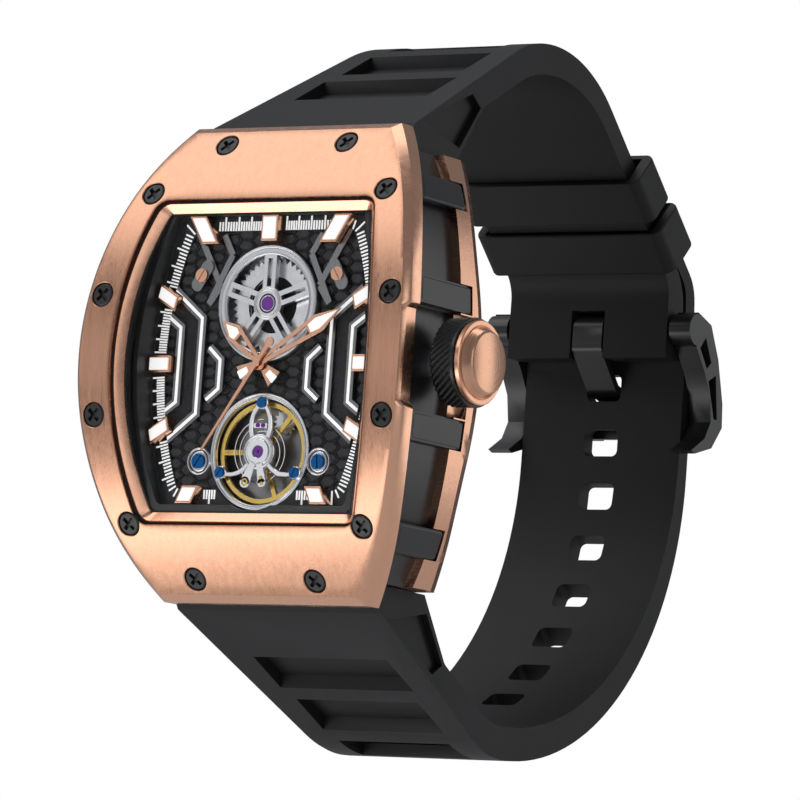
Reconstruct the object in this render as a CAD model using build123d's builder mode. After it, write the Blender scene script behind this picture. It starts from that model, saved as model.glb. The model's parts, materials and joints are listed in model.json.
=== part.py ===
"""A tonneau watch on its rubber strap, closed as it stands on a wrist.

X points to the crown, Y points away from the viewer and Z points to twelve o'clock. The origin is
the middle of the wrist opening. Heights are measured from the dial plane towards the viewer, and
depths from the dial plane towards the wrist.
"""

from build123d import *
from math import asin, atan2, cos, degrees, pi, radians, sin, sqrt
import os

# Whole watch
case_half_width = 20.5
case_half_height = 25.0
case_shoulder_shares = (0.88, 0.616)
case_end_share = 0.62
wrist_depth = 37.0
loop_depth = 69.5
loop_rise = 38.3
overrun = 2.0
play = 0.03
gap = 0.1

# Bezel
bezel_height = 5.0
bezel_curve = 45.0
bezel_thickness = 2.4
bezel_chamfer = 0.7
window_half_width = 14.45
window_half_height = 15.4
window_end_half_width = 11.85
window_corner = 0.7
lip_width = 1.6
lip_step = 0.45
groove_width = 0.28
groove_depth = 0.35
crown_notch_half_height = 5.3
crown_notch_depth = 0.5

# Bezel screws
screw_place_shares = ((0.363, 0.912), (0.707, 0.696), (0.872, 0.253))
screw_head_radius = 1.22
screw_head_height = 0.9
screw_sink = 0.4

# Crystal and its gasket
crystal_height = 4.45
crystal_back_height = 2.7
crystal_back_curve = 70.0
gasket_width = 0.3
gasket_drop = 0.15

# Middle case
back_front_depth = 5.3
back_front_curve = 76.0
end_half_height = 22.5
flank_recess = 0.9
crown_flank_recess = 1.6
rib_places = (7.0, 18.1)
rib_height = 2.9
cavity_grow = 0.75
rib_root = 1.2
seal_inset = 1.0
seal_width = 0.5
seal_thickness = 0.5

# Case back
back_depth = 10.75
back_flat_half_height = 9.0
back_end_depth = 14.0
back_notch_depth = 1.1
back_notch_reach = 2.2
back_cavity_radius = 13.2
back_cavity_depth = 8.85
back_glass_radius = 12.5
back_glass_ledge = 0.8
back_glass_depth = 9.35
back_glass_thickness = 1.2
back_gasket_width = 0.25
back_screw_shares = ((0.80, 0.42), (0.36, 0.80))
back_screw_radius = 0.95
back_screw_height = 0.7
back_screw_sink = 0.45

# Minute flange and dial
flange_height = 2.4
flange_gap = 0.05
flange_width = 1.9
flange_rim = 0.15
dial_height = -0.7
dial_thickness = 0.5
dial_grow = 0.6
hand_axis_up = -0.47
barrel_up = 5.85
balance_up = -9.55
hole_room = 0.1

# Hour markers: places as shares of the window, and the two edges of each parallelogram
marker_height = 0.75
top_marker_share = 0.919
top_marker_size = (2.05, 2.75)
side_marker_share = 0.879
side_marker_size = (2.8, 1.75)
corner_marker_shares = (0.567, 0.911)
corner_marker_run = (1.75, 2.95)
corner_marker_across = (2.15, 0.0)
low_marker_shares = (0.555, -0.887)
low_marker_run = (0.83, -1.85)
low_marker_across = (2.1, 0.0)
slant_marker_shares = (0.844, 0.453)
slant_marker_run = (2.4, 1.4)
slant_marker_across = (-0.4, 1.6)
lume_rim = 0.26
lume_height = 0.08
marker_pocket = 0.15

# Hexagon frames beside the dial
frame_height = 0.0
frame_rib_width = 1.0
inlay_width = 0.32
inlay_height = 0.06
outer_frame_shares = ((-0.925, 0.345), (-0.742, 0.222), (-0.742, -0.286), (-0.925, -0.405))
inner_frame_shares = ((-0.885, 0.530), (-0.560, 0.285), (-0.560, -0.365), (-0.860, -0.585))
small_frame_shares = ((-0.480, 0.084), (-0.378, 0.0), (-0.378, -0.196), (-0.480, -0.272))

# Upper struts
strut_height = -0.1
strut_width = 0.7
strut_shares = ((0.655, 0.880), (0.425, 0.500))
strut_inner_shares = ((0.425, 0.850), (0.340, 0.715))
strut_tie_shares = ((0.340, 0.715), (0.520, 0.380))
strut_plate_shares = (0.585, 0.575)
strut_plate_length = 3.6
strut_plate_width = 1.5
strut_plate_tilt = -58.0
strut_plate_thickness = 0.2
dial_screw_radius = 0.72
dial_screw_height = 0.2
dial_screw_slot = 0.18

# Barrel
barrel_ring_radius = 6.09
barrel_ring_width = 0.85
barrel_ring_height = 0.1
barrel_ring_thickness = 0.6
barrel_hub_radius = 1.75
barrel_jewel_radius = 0.75
barrel_spokes = 5
barrel_first_spoke = 90.0
barrel_spoke_width = 1.55
barrel_spoke_slot_width = 0.5
barrel_spoke_slot_share = 0.62
barrel_wheel_radius = 4.95
barrel_wheel_teeth = 40
barrel_tooth_depth = 0.55
barrel_wheel_height = -0.9
barrel_wheel_thickness = 0.4
barrel_wheel_bore = 3.0
barrel_arbor_radius = 0.9
barrel_skirt_width = 0.5
jewel_bore = 0.3
pivot_length = 0.25
pivot_radius = 0.12

# Balance
balance_ring_radius = 6.1
balance_ring_width = 0.55
balance_ring_height = -0.55
balance_ring_thickness = 0.6
ear_height = -0.35
ear_reach = 7.45
ear_drop = 1.0
ear_radius = 1.45
ear_screw_radius = 0.78
ear_screw_rise = 0.3
ear_root_share = 0.72
ear_room_share = 1.5
bridge_lug_thickness = 0.25
bridge_thickness = 0.35
bridge_hub_radius = 1.9
bridge_arm_reach = 5.12
bridge_arm_angles = (90.0, 205.0, 335.0)
bridge_arm_width = 0.5
bridge_foot_radius = 0.7
bridge_screw_radius = 0.58
bridge_screw_rise = 0.2
balance_wheel_radius = 5.3
balance_rim_width = 0.5
balance_wheel_height = -1.05
balance_wheel_thickness = 0.4
balance_spoke_width = 0.55
balance_spoke_angles = (180.0, 50.0, -68.0)
balance_hub_radius = 0.8
balance_staff_radius = 0.28
jewel_radius = 0.62
spring_wire = 0.08
spring_width = 0.16
spring_first_radius = 0.95
collet_radius = 0.88
stud_reach = 3.75
stud_radius = 0.2
spring_turn_step = 0.62
spring_half_turns = 8
spring_quarter_share = 0.25
spring_height = -0.78
regulator_length = 3.7
regulator_width = 0.75
regulator_angles = (247.0, 283.0)
regulator_thickness = 0.15

# Escapement
escape_across = 1.9
escape_up = -6.2
escape_radius = 1.5
escape_teeth = 15
escape_tooth_depth = 0.45
escape_bore = 0.2
escape_height = -2.0
escape_thickness = 0.2
pallet_across = -0.4
pallet_up = -6.9
pallet_lever = 1.75
pallet_arm = 0.95
pallet_width = 0.32
pallet_spread = 45.0
pallet_arbor_radius = 0.15

# Movement
plate_height = -2.6
plate_thickness = 2.0
plate_inset = 0.25
ring_inset = 0.1
ring_width = 0.85
rear_bridge_radius = 12.7
rear_bridge_thickness = 1.3
rotor_radius = 12.3
rotor_rim_width = 3.0
rotor_height = -7.2
rotor_thickness = 1.3
rotor_web_thickness = 0.5
rotor_hub_radius = 2.4
rotor_post_radius = 0.9
rotor_cap = 0.25

# Hands, measured from the hand axis
hour_hand_length = 6.7
hour_hand_angle = 138.0
hour_hand_height = 0.65
minute_hand_length = 11.3
minute_hand_angle = 30.0
minute_hand_height = 1.05
seconds_hand_length = 11.0
seconds_hand_angle = 236.0
seconds_hand_height = 1.4
hand_thickness = 0.18
hand_width = 1.35
hand_neck_width = 0.75
hand_tip_share = 0.72
hand_slot_share = 0.6
hand_slot_width = 0.6
hand_tail_length = 2.5
hand_tail_width = 1.35
hand_boss_radius = 0.75
seconds_width = 0.5
seconds_tip_share = 0.25
seconds_tail_length = 2.6
hour_pipe_radius = 0.55
minute_pipe_radius = 0.37
seconds_pin_radius = 0.18
hour_pipe_end = -1.4

# Crown
crown_depth = 3.2
crown_start = 21.2
crown_grip_radius = 4.6
crown_grip_length = 2.75
crown_roof = 0.9
crown_teeth = 24
crown_tooth_depth = 0.28
crown_cap_radius = 4.35
crown_cap_thickness = 0.6
crown_dome_radius = 3.72
crown_face_radius = 3.3
crown_dome_height = 1.0
crown_bore = 1.9
crown_tube_radius = 1.5
crown_tube_end = 22.6
stem_radius = 0.6
stem_inner_end = 7.0
lever_start = 9.9
lever_length = 1.6
lever_half_width = 1.0
lever_half_depth = 0.55
collar_radius = 0.85
collar_length = 0.3

# Strap
strap_root_half_width = 12.7
strap_half_width = 10.3
strap_narrow_depth = 32.0
upper_path_shares = ((0.300, 0.773), (0.567, 1.026), (0.909, 0.4465), (0.909, 0.232))
upper_thicknesses = (3.4, 2.4, 3.3)
strap_lip_depth = 15.3
strap_start_up = 22.6
root_depth = 6.0
root_up = 25.5
root_gap = 0.15
lip_bend = 1.5
crest_bend = 16.5
crest_outer_bend = 18.0
buckle_bend = 4.0
buckle_outer_bend = 6.8
lower_path_shares = ((0.300, -0.765), (0.462, -0.904), (0.973, -0.904), (0.973, 0.215))
tail_lean_shares = (-0.013, 0.267)
lower_bends = (12.0, 32.5, 0.0, 3.0)
lower_outer_bends = (15.4, 34.5, 0.0, 4.6)
lower_thicknesses = (3.4, 3.6, 1.9, 1.9, 1.6)
layer_gap = 0.15
tail_past_keeper = 1.2
tongue_length = 2.6
tongue_half_width = 9.0
tongue_depths = (5.4, 7.4)
tongue_screw_reach = 6.0
tongue_screw_radius = 0.6
tongue_screw_up = 21.2
tongue_screw_rear = 7.9
tongue_screw_tip = 4.3
ladder_depth = 1.3
ladder_rail = 3.3
ladder_depth_shares = ((0.205, 0.285), (0.315, 0.395), (0.425, 0.495))
side_pocket_depth = 0.8
side_pocket_shares = ((0.105, 0.680), (0.262, 0.800), (0.292, 0.770), (0.230, 0.640))
hole_length = 4.4
hole_height = 3.0
hole_corner = 0.7
hole_pitch = 6.1
sweep_holes = 7
first_hole_angle = 3.5
prong_hole_up = 6.05

# Keepers, placed along the straight run above the buckle
keeper_length = 5.6
keeper_wall = 0.75
keeper_side_wall = 1.5
keeper_corner = 1.2
fixed_keeper_place = 4.75
free_keeper_place = 11.9
fixed_keeper_room = 4.4
free_keeper_room = 3.75
keeper_play = 0.1
keeper_side_gap = 0.2

# Buckle
bar_depth = 64.85
bar_up = 12.2
bar_radius = 0.75
ear_gap = 0.3
ear_thickness = 2.7
ear_boss_radius = 1.75
prong_width = 3.8
prong_thickness = 0.85
prong_slot_gap = 0.25
buckle_depth = 6.9
buckle_drop = 13.7
buckle_outer_shares = (
    ((0.0, 0.142), (0.43, 0.066), (0.72, -0.197), (0.94, -0.545))
    + ((0.97, -0.740), (0.68, -0.925), (0.17, -1.0))
)
buckle_inner_shares = (
    ((0.05, -0.978), (0.44, -0.861), (0.60, -0.715))
    + ((0.52, -0.496), (0.30, -0.32), (0.0, -0.142))
)
ear_window_shares = (
    ((0.28, -0.045), (0.12, -0.14), (0.37, -0.295), (0.50, -0.235)),
    ((0.670, -0.330), (0.450, -0.390), (0.690, -0.686), (0.790, -0.686)),
)
crossbar_shares = (0.746, 1.007)
crossbar_drop_shares = (-0.847, -0.569)
crossbar_notch_depth = 0.9
crossbar_notch_width = 4.2
prong_path_shares = ((-0.175, 0.0), (-0.175, -0.16), (0.36, -0.455), (0.955, -0.540), (0.955, -0.70))
prong_bend = 0.9
prong_slot_up = 14.2
bar_end = 12.4

dial_y = -wrist_depth


def level(height):
    """Plane at a height in front of the dial plane, seen by the viewer: X right, Z up."""
    return Plane(origin=(0, dial_y - height, 0), x_dir=(1, 0, 0), z_dir=(0, -1, 0))


def crown_plane(out):
    """Plane across the crown axis, at a distance out from the middle of the watch."""
    return Plane(origin=(out, dial_y + crown_depth, 0), x_dir=(0, 1, 0), z_dir=(1, 0, 0))


def back_head_front(up):
    """Depth of the front of a back screw head, so that it sinks below the curving back."""
    run, drop = end_half_height - back_flat_half_height, back_end_depth - back_depth
    curve = (run**2 + drop**2) / (2 * drop)
    past = max(abs(up) - back_flat_half_height, 0.0)
    surface = back_depth + curve - sqrt(curve**2 - past**2)
    return surface - back_screw_sink - back_screw_height


bezel_front = (bezel_height, bezel_curve)
bezel_rear = (bezel_height - bezel_thickness, bezel_curve - bezel_thickness)
back_front = (-back_front_depth, back_front_curve)
crystal_back = (crystal_back_height, crystal_back_curve)


def bow(surface, up=0.0):
    """Y of a surface bowed about the X axis, given as its height in the middle and its radius."""
    height, radius = surface
    return dial_y - height + radius - sqrt(radius**2 - up**2)


def deeper(surface, drop):
    """The bowed surface that lies a drop behind another all over."""
    return surface[0] - drop, surface[1] - drop


def keep_between(front, back, reach=case_half_height):
    """Keep of the part under construction what lies between two bowed surfaces."""
    with BuildSketch(Plane.YZ) as side:
        with BuildLine():
            ThreePointArc(*[(bow(front, up), up) for up in (-reach, 0.0, reach)])
            Line((bow(front, reach), reach), (bow(back, reach), reach))
            ThreePointArc(*[(bow(back, up), up) for up in (reach, 0.0, -reach)])
            Line((bow(back, -reach), -reach), (bow(front, -reach), -reach))
        make_face()
    extrude(side.sketch, amount=case_half_height, both=True, mode=Mode.INTERSECT)


def case_outline(grow=0.0):
    """Outline of the case seen from the front, grown or shrunk."""
    wide, tall = case_half_width + grow, case_half_height + grow
    shoulder = (case_shoulder_shares[0] * wide, case_shoulder_shares[1] * tall)
    end = (case_end_share * wide, tall)
    with BuildSketch(Plane.XY) as outline:
        with BuildLine():
            side = ThreePointArc((shoulder[0], -shoulder[1]), (wide, 0), shoulder)
            TangentArc(shoulder, end, tangent=side % 1)
            Line(end, (0, tall))
            TangentArc((shoulder[0], -shoulder[1]), (end[0], -end[1]), tangent=-(side % 0))
            Line((end[0], -end[1]), (0, -tall))
            mirror(about=Plane.YZ)
        make_face()
    return outline.sketch


def window_outline(grow=0.0):
    """Outline of the window in the bezel, grown or shrunk."""
    wide, tall = window_half_width + grow, window_half_height + grow
    end = window_end_half_width + grow
    with BuildSketch(Plane.XY) as outline:
        with BuildLine():
            ThreePointArc((end, -tall), (wide, 0), (end, tall))
            Line((end, tall), (-end, tall))
            ThreePointArc((-end, tall), (-wide, 0), (-end, -tall))
            Line((-end, -tall), (end, -tall))
        make_face()
        fillet(outline.vertices(), window_corner)
    return outline.sketch


def bands(places, height, outline, inner):
    """Strips of the outline, each side, at the given places up and down."""
    with BuildSketch(Plane.XY) as strips:
        with Locations(*[(0, up) for up in places]):
            Rectangle(2 * case_half_width + overrun, height)
        add(outline, mode=Mode.INTERSECT)
        add(inner, mode=Mode.SUBTRACT)
    return strips.sketch


def crown_side(grow):
    """Cut beside the crown, from the given outline outwards."""
    with BuildSketch(Plane.XY) as cut:
        with Locations((case_half_width, 0)):
            Rectangle(case_half_width, 2 * crown_notch_half_height)
        add(case_outline(grow), mode=Mode.SUBTRACT)
    return cut.sketch


def bezel_plane(across, up):
    """Plane on the bowed front of the bezel, looking straight out of it."""
    tilt = asin(up / bezel_curve)
    middle = dial_y - bezel_height + bezel_curve
    origin = (across, middle - bezel_curve * cos(tilt), up)
    return Plane(origin=origin, x_dir=(1, 0, 0), z_dir=(0, -cos(tilt), sin(tilt)))


def four_places(shares, wide, tall):
    """Points in all four quarters from shares of a half width and a half height."""
    return [(i * a * wide, k * b * tall) for a, b in shares for i in (1, -1) for k in (1, -1)]


screw_places = four_places(screw_place_shares, case_half_width, case_half_height)
screw_planes = [bezel_plane(*place) for place in screw_places]
screw_bottom = screw_sink + screw_head_height


def draw(outline, height=0.0):
    """Sketch of an outline on the level of a height."""
    with BuildSketch(level(height)) as drawn:
        add(outline)
    return drawn.sketch


# Bezel: the bowed plate with its window, the lip round the window and the sunk screw holes
with BuildPart() as lip_room:
    extrude(draw(window_outline(lip_width)), amount=case_half_height, both=True)
    keep_between(deeper(bezel_front, -overrun), deeper(bezel_front, lip_step))

with BuildPart() as groove_room:
    with BuildSketch(level(0)):
        add(window_outline(lip_width))
        add(window_outline(lip_width - groove_width), mode=Mode.SUBTRACT)
    extrude(amount=case_half_height, both=True)
    keep_between(deeper(bezel_front, -overrun), deeper(bezel_front, lip_step + groove_depth))

with BuildPart() as bezel:
    with BuildSketch(level(0)):
        add(case_outline())
    extrude(amount=case_half_height, both=True)
    keep_between(bezel_front, bezel_rear)
    front_face = bezel.faces().sort_by_distance((window_half_width, bow(bezel_front), 0))[0]
    chamfer(front_face.outer_wire().edges(), bezel_chamfer)
    extrude(draw(crown_side(-crown_notch_depth)), amount=case_half_height, both=True, mode=Mode.SUBTRACT)
    extrude(draw(window_outline()), amount=case_half_height, both=True, mode=Mode.SUBTRACT)
    add(lip_room.part, mode=Mode.SUBTRACT)
    add(groove_room.part, mode=Mode.SUBTRACT)
    with BuildSketch(*screw_planes):
        Circle(screw_head_radius + gap)
    extrude(amount=-screw_bottom, mode=Mode.SUBTRACT)

# Bezel screws: sunk heads, all alike; their recess is too fine to be shown here
with BuildPart() as bezel_screws:
    with BuildSketch(*[plane.offset(-screw_sink) for plane in screw_planes]):
        Circle(screw_head_radius)
    extrude(amount=-screw_head_height)

# Crystal and the dark gasket round it
with BuildPart() as crystal:
    with BuildSketch(level(0)):
        add(window_outline(-gasket_width))
    extrude(amount=case_half_height, both=True)
    keep_between((crystal_height, bezel_curve), crystal_back, window_half_height)

with BuildPart() as crystal_gasket:
    with BuildSketch(level(0)):
        add(window_outline())
        add(window_outline(-gasket_width), mode=Mode.SUBTRACT)
    extrude(amount=case_half_height, both=True)
    keep_between((crystal_height - gasket_drop, bezel_curve), crystal_back, window_half_height)


def seal(surface):
    """Flat seal let into the surface behind it, round the movement."""
    with BuildPart() as ring:
        with BuildSketch(level(0)):
            add(window_outline(seal_inset + seal_width))
            add(window_outline(seal_inset), mode=Mode.SUBTRACT)
        extrude(amount=case_half_height, both=True)
        keep_between(surface, deeper(surface, seal_thickness))
    return ring


bezel_gasket = seal(bezel_rear)
back_gasket = seal(back_front)

# Middle case: a recessed flank with ribs, hollow for the movement
rib_centres = [sign * up for up in rib_places for sign in (1, -1)]
rib_foot = case_outline(-flank_recess - rib_root)
back_screw_places = four_places(back_screw_shares, case_half_width, end_half_height)
strap_screw_places = [(i * tongue_screw_reach, k * tongue_screw_up) for i in (1, -1) for k in (1, -1)]

with BuildPart() as ribs:
    with BuildSketch(level(0)):
        add(bands(rib_centres, rib_height, case_outline(), rib_foot))
    extrude(amount=case_half_height, both=True)
    keep_between(bezel_rear, deeper(back_front, back_notch_depth))

with BuildPart() as case_middle:
    with BuildSketch(level(0)):
        add(case_outline(-flank_recess))
    extrude(amount=case_half_height, both=True)
    keep_between(bezel_rear, back_front, end_half_height)
    add(ribs.part)
    extrude(draw(crown_side(-crown_flank_recess)), amount=case_half_height, both=True, mode=Mode.SUBTRACT)
    extrude(draw(window_outline(cavity_grow)), amount=case_half_height, both=True, mode=Mode.SUBTRACT)
    add(bezel_gasket.part, mode=Mode.SUBTRACT)
    with BuildSketch(level(-tongue_depths[0] + gap)):
        with Locations((0, end_half_height), (0, -end_half_height)):
            Rectangle(2 * (tongue_half_width + gap), 2 * (tongue_length + gap))
    extrude(amount=-(tongue_depths[1] - tongue_depths[0] + 2 * gap), mode=Mode.SUBTRACT)
    with BuildSketch(level(-back_end_depth)):
        with Locations(*strap_screw_places):
            Circle(tongue_screw_radius + gap)
    extrude(amount=back_end_depth - tongue_screw_tip + gap, mode=Mode.SUBTRACT)
    with BuildSketch(crown_plane(0)):
        Circle(crown_tube_radius)
    extrude(amount=case_half_width, mode=Mode.SUBTRACT)
    with BuildSketch(crown_plane(0)):
        Circle(stem_radius + gap)
    extrude(amount=case_half_width, mode=Mode.SUBTRACT)

notch_foot = case_outline(-flank_recess - rib_root - gap)
with BuildPart() as notch_room:
    with BuildSketch(level(0)):
        add(bands(rib_centres, rib_height + 2 * gap, case_outline(overrun), notch_foot))
        add(crown_side(-flank_recess))
    extrude(amount=case_half_height, both=True)
    keep_between(deeper(back_front, -overrun), deeper(back_front, back_notch_reach))

# Case back: flat in the middle, curving away to the lugs, with a glass held from behind
flat_y = dial_y + back_depth
end_y = dial_y + back_end_depth
front_end_y = bow(back_front, end_half_height)
with BuildPart() as case_back:
    with BuildSketch(level(0)):
        add(case_outline())
    extrude(amount=-2 * back_end_depth)
    with BuildSketch(Plane.YZ):
        with BuildLine():
            ThreePointArc(*[(bow(back_front, up), up) for up in (-end_half_height, 0, end_half_height)])
            Line((front_end_y, end_half_height), (end_y, end_half_height))
            flat = Line((flat_y, back_flat_half_height), (flat_y, -back_flat_half_height))
            TangentArc(flat @ 0, (end_y, end_half_height), tangent=(0, 1))
            TangentArc(flat @ 1, (end_y, -end_half_height), tangent=(0, -1))
            Line((end_y, -end_half_height), (front_end_y, -end_half_height))
        make_face()
    extrude(amount=case_half_height, both=True, mode=Mode.INTERSECT)
    add(notch_room.part, mode=Mode.SUBTRACT)
    add(back_gasket.part, mode=Mode.SUBTRACT)
    with BuildSketch(level(0)):
        Circle(back_cavity_radius)
    extrude(amount=-back_cavity_depth, mode=Mode.SUBTRACT)
    with BuildSketch(level(0)):
        Circle(back_glass_radius - back_glass_ledge)
    extrude(amount=-2 * back_end_depth, mode=Mode.SUBTRACT)
    with BuildSketch(level(-back_glass_depth)):
        Circle(back_glass_radius + back_gasket_width)
    extrude(amount=-back_end_depth, mode=Mode.SUBTRACT)
    for across, up in back_screw_places:
        with BuildSketch(level(-back_head_front(up))):
            with Locations((across, up)):
                Circle(back_screw_radius + gap)
        extrude(amount=-back_end_depth, mode=Mode.SUBTRACT)

with BuildPart() as back_crystal:
    with BuildSketch(level(-back_glass_depth)):
        Circle(back_glass_radius)
    extrude(amount=-back_glass_thickness)

with BuildPart() as back_glass_ring:
    with BuildSketch(level(-back_glass_depth)):
        Circle(back_glass_radius + back_gasket_width)
        Circle(back_glass_radius, mode=Mode.SUBTRACT)
    extrude(amount=-back_glass_thickness)

with BuildPart() as back_screws:
    for across, up in back_screw_places:
        with BuildSketch(level(-back_head_front(up))):
            with Locations((across, up)):
                Circle(back_screw_radius)
        extrude(amount=-back_screw_height)

# Headless screws through the tongues of the straps
with BuildPart() as strap_screws:
    with BuildSketch(level(-tongue_screw_rear)):
        with Locations(*strap_screw_places):
            Circle(tongue_screw_radius)
    extrude(amount=tongue_screw_rear - tongue_screw_tip)


def marker_blocks():
    """Middle, run and across of the slanted markers on the crown side."""
    corner = (corner_marker_shares, corner_marker_run, corner_marker_across)
    low = (low_marker_shares, low_marker_run, low_marker_across)
    slant = (slant_marker_shares, slant_marker_run, slant_marker_across)
    for shares, run, across in (corner, low, slant):
        middle = (shares[0] * window_half_width, shares[1] * window_half_height + hand_axis_up)
        yield Vector(*middle), Vector(*run) / 2, Vector(*across) / 2
    flipped = Vector(middle[0], 2 * hand_axis_up - middle[1])
    yield flipped, Vector(run[0], -run[1]) / 2, Vector(across[0], -across[1]) / 2


def marker_outlines(grow=0.0):
    """All eleven hour markers seen from the front, grown or shrunk."""
    with BuildSketch(Plane.XY) as outlines:
        for middle, run, across in marker_blocks():
            start, end = middle - run, middle + run
            with BuildLine():
                Polyline(start - across, start + across, end + across, end - across, close=True)
            make_face()
        with Locations((side_marker_share * window_half_width, hand_axis_up)):
            Rectangle(*side_marker_size)
        mirror(about=Plane.YZ)
        with Locations((0, top_marker_share * window_half_height + hand_axis_up)):
            Rectangle(*top_marker_size)
        if grow:
            offset(amount=grow, kind=Kind.INTERSECTION)
    return outlines.sketch


def ring_hole(centre, radius):
    """Round outline about a point of the dial."""
    with BuildSketch(Plane.XY) as hole:
        with Locations(centre):
            Circle(radius)
    return hole.sketch


def strip(points, width, closed=False):
    """Outline of a strip of even width that follows a path."""
    with BuildSketch(Plane.XY) as drawn:
        with BuildLine() as path:
            Polyline(*points, close=closed)
        trace(path.line, width)
    return drawn.sketch


def in_window(shares, side=1):
    """Points of the dial from shares of the window, mirrored for the other side."""
    return [(side * a * window_half_width, b * window_half_height) for a, b in shares]


barrel_centre = (0, barrel_up)
balance_centre = (0, balance_up)
hand_centre = (0, hand_axis_up)
flange_top = (flange_height, crystal_back_curve)

# Minute flange: a sloped ring with pockets for the markers
with BuildPart() as minute_flange:
    with BuildSketch(level(dial_height)):
        add(window_outline(-flange_gap))
    extrude(amount=flange_height - dial_height)
    with BuildSketch(level(dial_height)):
        add(window_outline(-flange_gap - flange_width))
    with BuildSketch(level(flange_height)):
        add(window_outline(-flange_gap - flange_rim))
    loft(ruled=True, mode=Mode.SUBTRACT)
    keep_between(flange_top, (-back_depth, back_front_curve), window_half_height)
    extrude(draw(marker_outlines(gap), dial_height), amount=flange_height * 2, mode=Mode.SUBTRACT)
    with BuildSketch(level(dial_height)):
        with Locations(balance_centre):
            Circle(balance_ring_radius + hole_room)
    extrude(amount=flange_height * 2, mode=Mode.SUBTRACT)

# Dial plate with the openings for the barrel, the balance and the hands
with BuildPart() as dial_plate:
    with BuildSketch(level(dial_height)):
        add(window_outline(dial_grow))
        add(ring_hole(barrel_centre, barrel_ring_radius + hole_room), mode=Mode.SUBTRACT)
        add(ring_hole(balance_centre, balance_ring_radius + hole_room), mode=Mode.SUBTRACT)
        add(ring_hole(hand_centre, hour_pipe_radius + hole_room), mode=Mode.SUBTRACT)
    extrude(amount=-dial_thickness)

# Hexagon frames beside the dial, and the white lines let into them
inside_flange = window_outline(-flange_gap - flange_width - gap)
ear_room = ear_radius * ear_room_share
ear_room_reach = ear_reach - ear_radius / 2


def frame_strips(width):
    """Strips along the frames on both sides, clear of the markers and of the two round openings."""
    with BuildSketch(Plane.XY) as strips:
        for shares in (outer_frame_shares, inner_frame_shares, small_frame_shares):
            for side in (1, -1):
                add(strip(in_window(shares, side), width))
        add(inside_flange, mode=Mode.INTERSECT)
        add(marker_outlines(gap), mode=Mode.SUBTRACT)
        add(ring_hole(barrel_centre, barrel_ring_radius + hole_room), mode=Mode.SUBTRACT)
        add(ring_hole(balance_centre, balance_ring_radius + hole_room), mode=Mode.SUBTRACT)
        for side in (1, -1):
            ear = (side * ear_room_reach, balance_up - ear_drop)
            add(ring_hole(ear, ear_room), mode=Mode.SUBTRACT)
    return strips.sketch


with BuildPart() as dial_frames:
    with BuildSketch(level(dial_height)):
        add(frame_strips(frame_rib_width))
    extrude(amount=frame_height - dial_height)

with BuildPart() as frame_inlays:
    with BuildSketch(level(frame_height)):
        add(frame_strips(inlay_width))
    extrude(amount=inlay_height)

# Hour markers with a pocket for the white lume
with BuildPart() as hour_markers:
    with BuildSketch(level(dial_height)):
        add(marker_outlines())
    extrude(amount=marker_height - dial_height)
    extrude(draw(marker_outlines(-lume_rim), marker_height), amount=-marker_pocket, mode=Mode.SUBTRACT)

with BuildPart() as marker_lume:
    with BuildSketch(level(marker_height - marker_pocket)):
        add(marker_outlines(-lume_rim))
    extrude(amount=marker_pocket + lume_height)

# Struts at eleven and one o'clock, each with a screwed plate
with BuildPart() as upper_struts:
    with BuildSketch(level(dial_height)):
        for shares in (strut_shares, strut_inner_shares, strut_tie_shares):
            for side in (1, -1):
                add(strip(in_window(shares, side), strut_width))
        add(strip(in_window((strut_shares[1], strut_tie_shares[1])), strut_width))
        add(strip(in_window((strut_shares[1], strut_tie_shares[1]), -1), strut_width))
        add(marker_outlines(gap), mode=Mode.SUBTRACT)
        add(ring_hole(barrel_centre, barrel_ring_radius + hole_room), mode=Mode.SUBTRACT)
        for shares in (outer_frame_shares, inner_frame_shares):
            for side in (1, -1):
                add(strip(in_window(shares, side), frame_rib_width + 2 * gap), mode=Mode.SUBTRACT)
    extrude(amount=strut_height - dial_height)


def plate_plane(side, height):
    """Plane of a screwed plate on a strut, its X along the plate."""
    tilt = radians(strut_plate_tilt)
    across, up = in_window((strut_plate_shares,), side)[0]
    along_plate = (side * cos(tilt), 0, sin(tilt))
    return Plane(origin=(across, dial_y - height, up), x_dir=along_plate, z_dir=(0, -1, 0))


with BuildPart() as strut_plates:
    with BuildSketch(plate_plane(1, strut_height), plate_plane(-1, strut_height)):
        SlotOverall(strut_plate_length, strut_plate_width)
    extrude(amount=strut_plate_thickness)

plate_top = strut_height + strut_plate_thickness
head_top = plate_top + dial_screw_height
with BuildPart() as dial_screws:
    with BuildSketch(plate_plane(1, plate_top), plate_plane(-1, plate_top)):
        Circle(dial_screw_radius)
    extrude(amount=dial_screw_height)
    with BuildSketch(plate_plane(1, head_top), plate_plane(-1, head_top)):
        Rectangle(2 * dial_screw_radius, dial_screw_slot)
    extrude(amount=-dial_screw_height / 2, mode=Mode.SUBTRACT)

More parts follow.
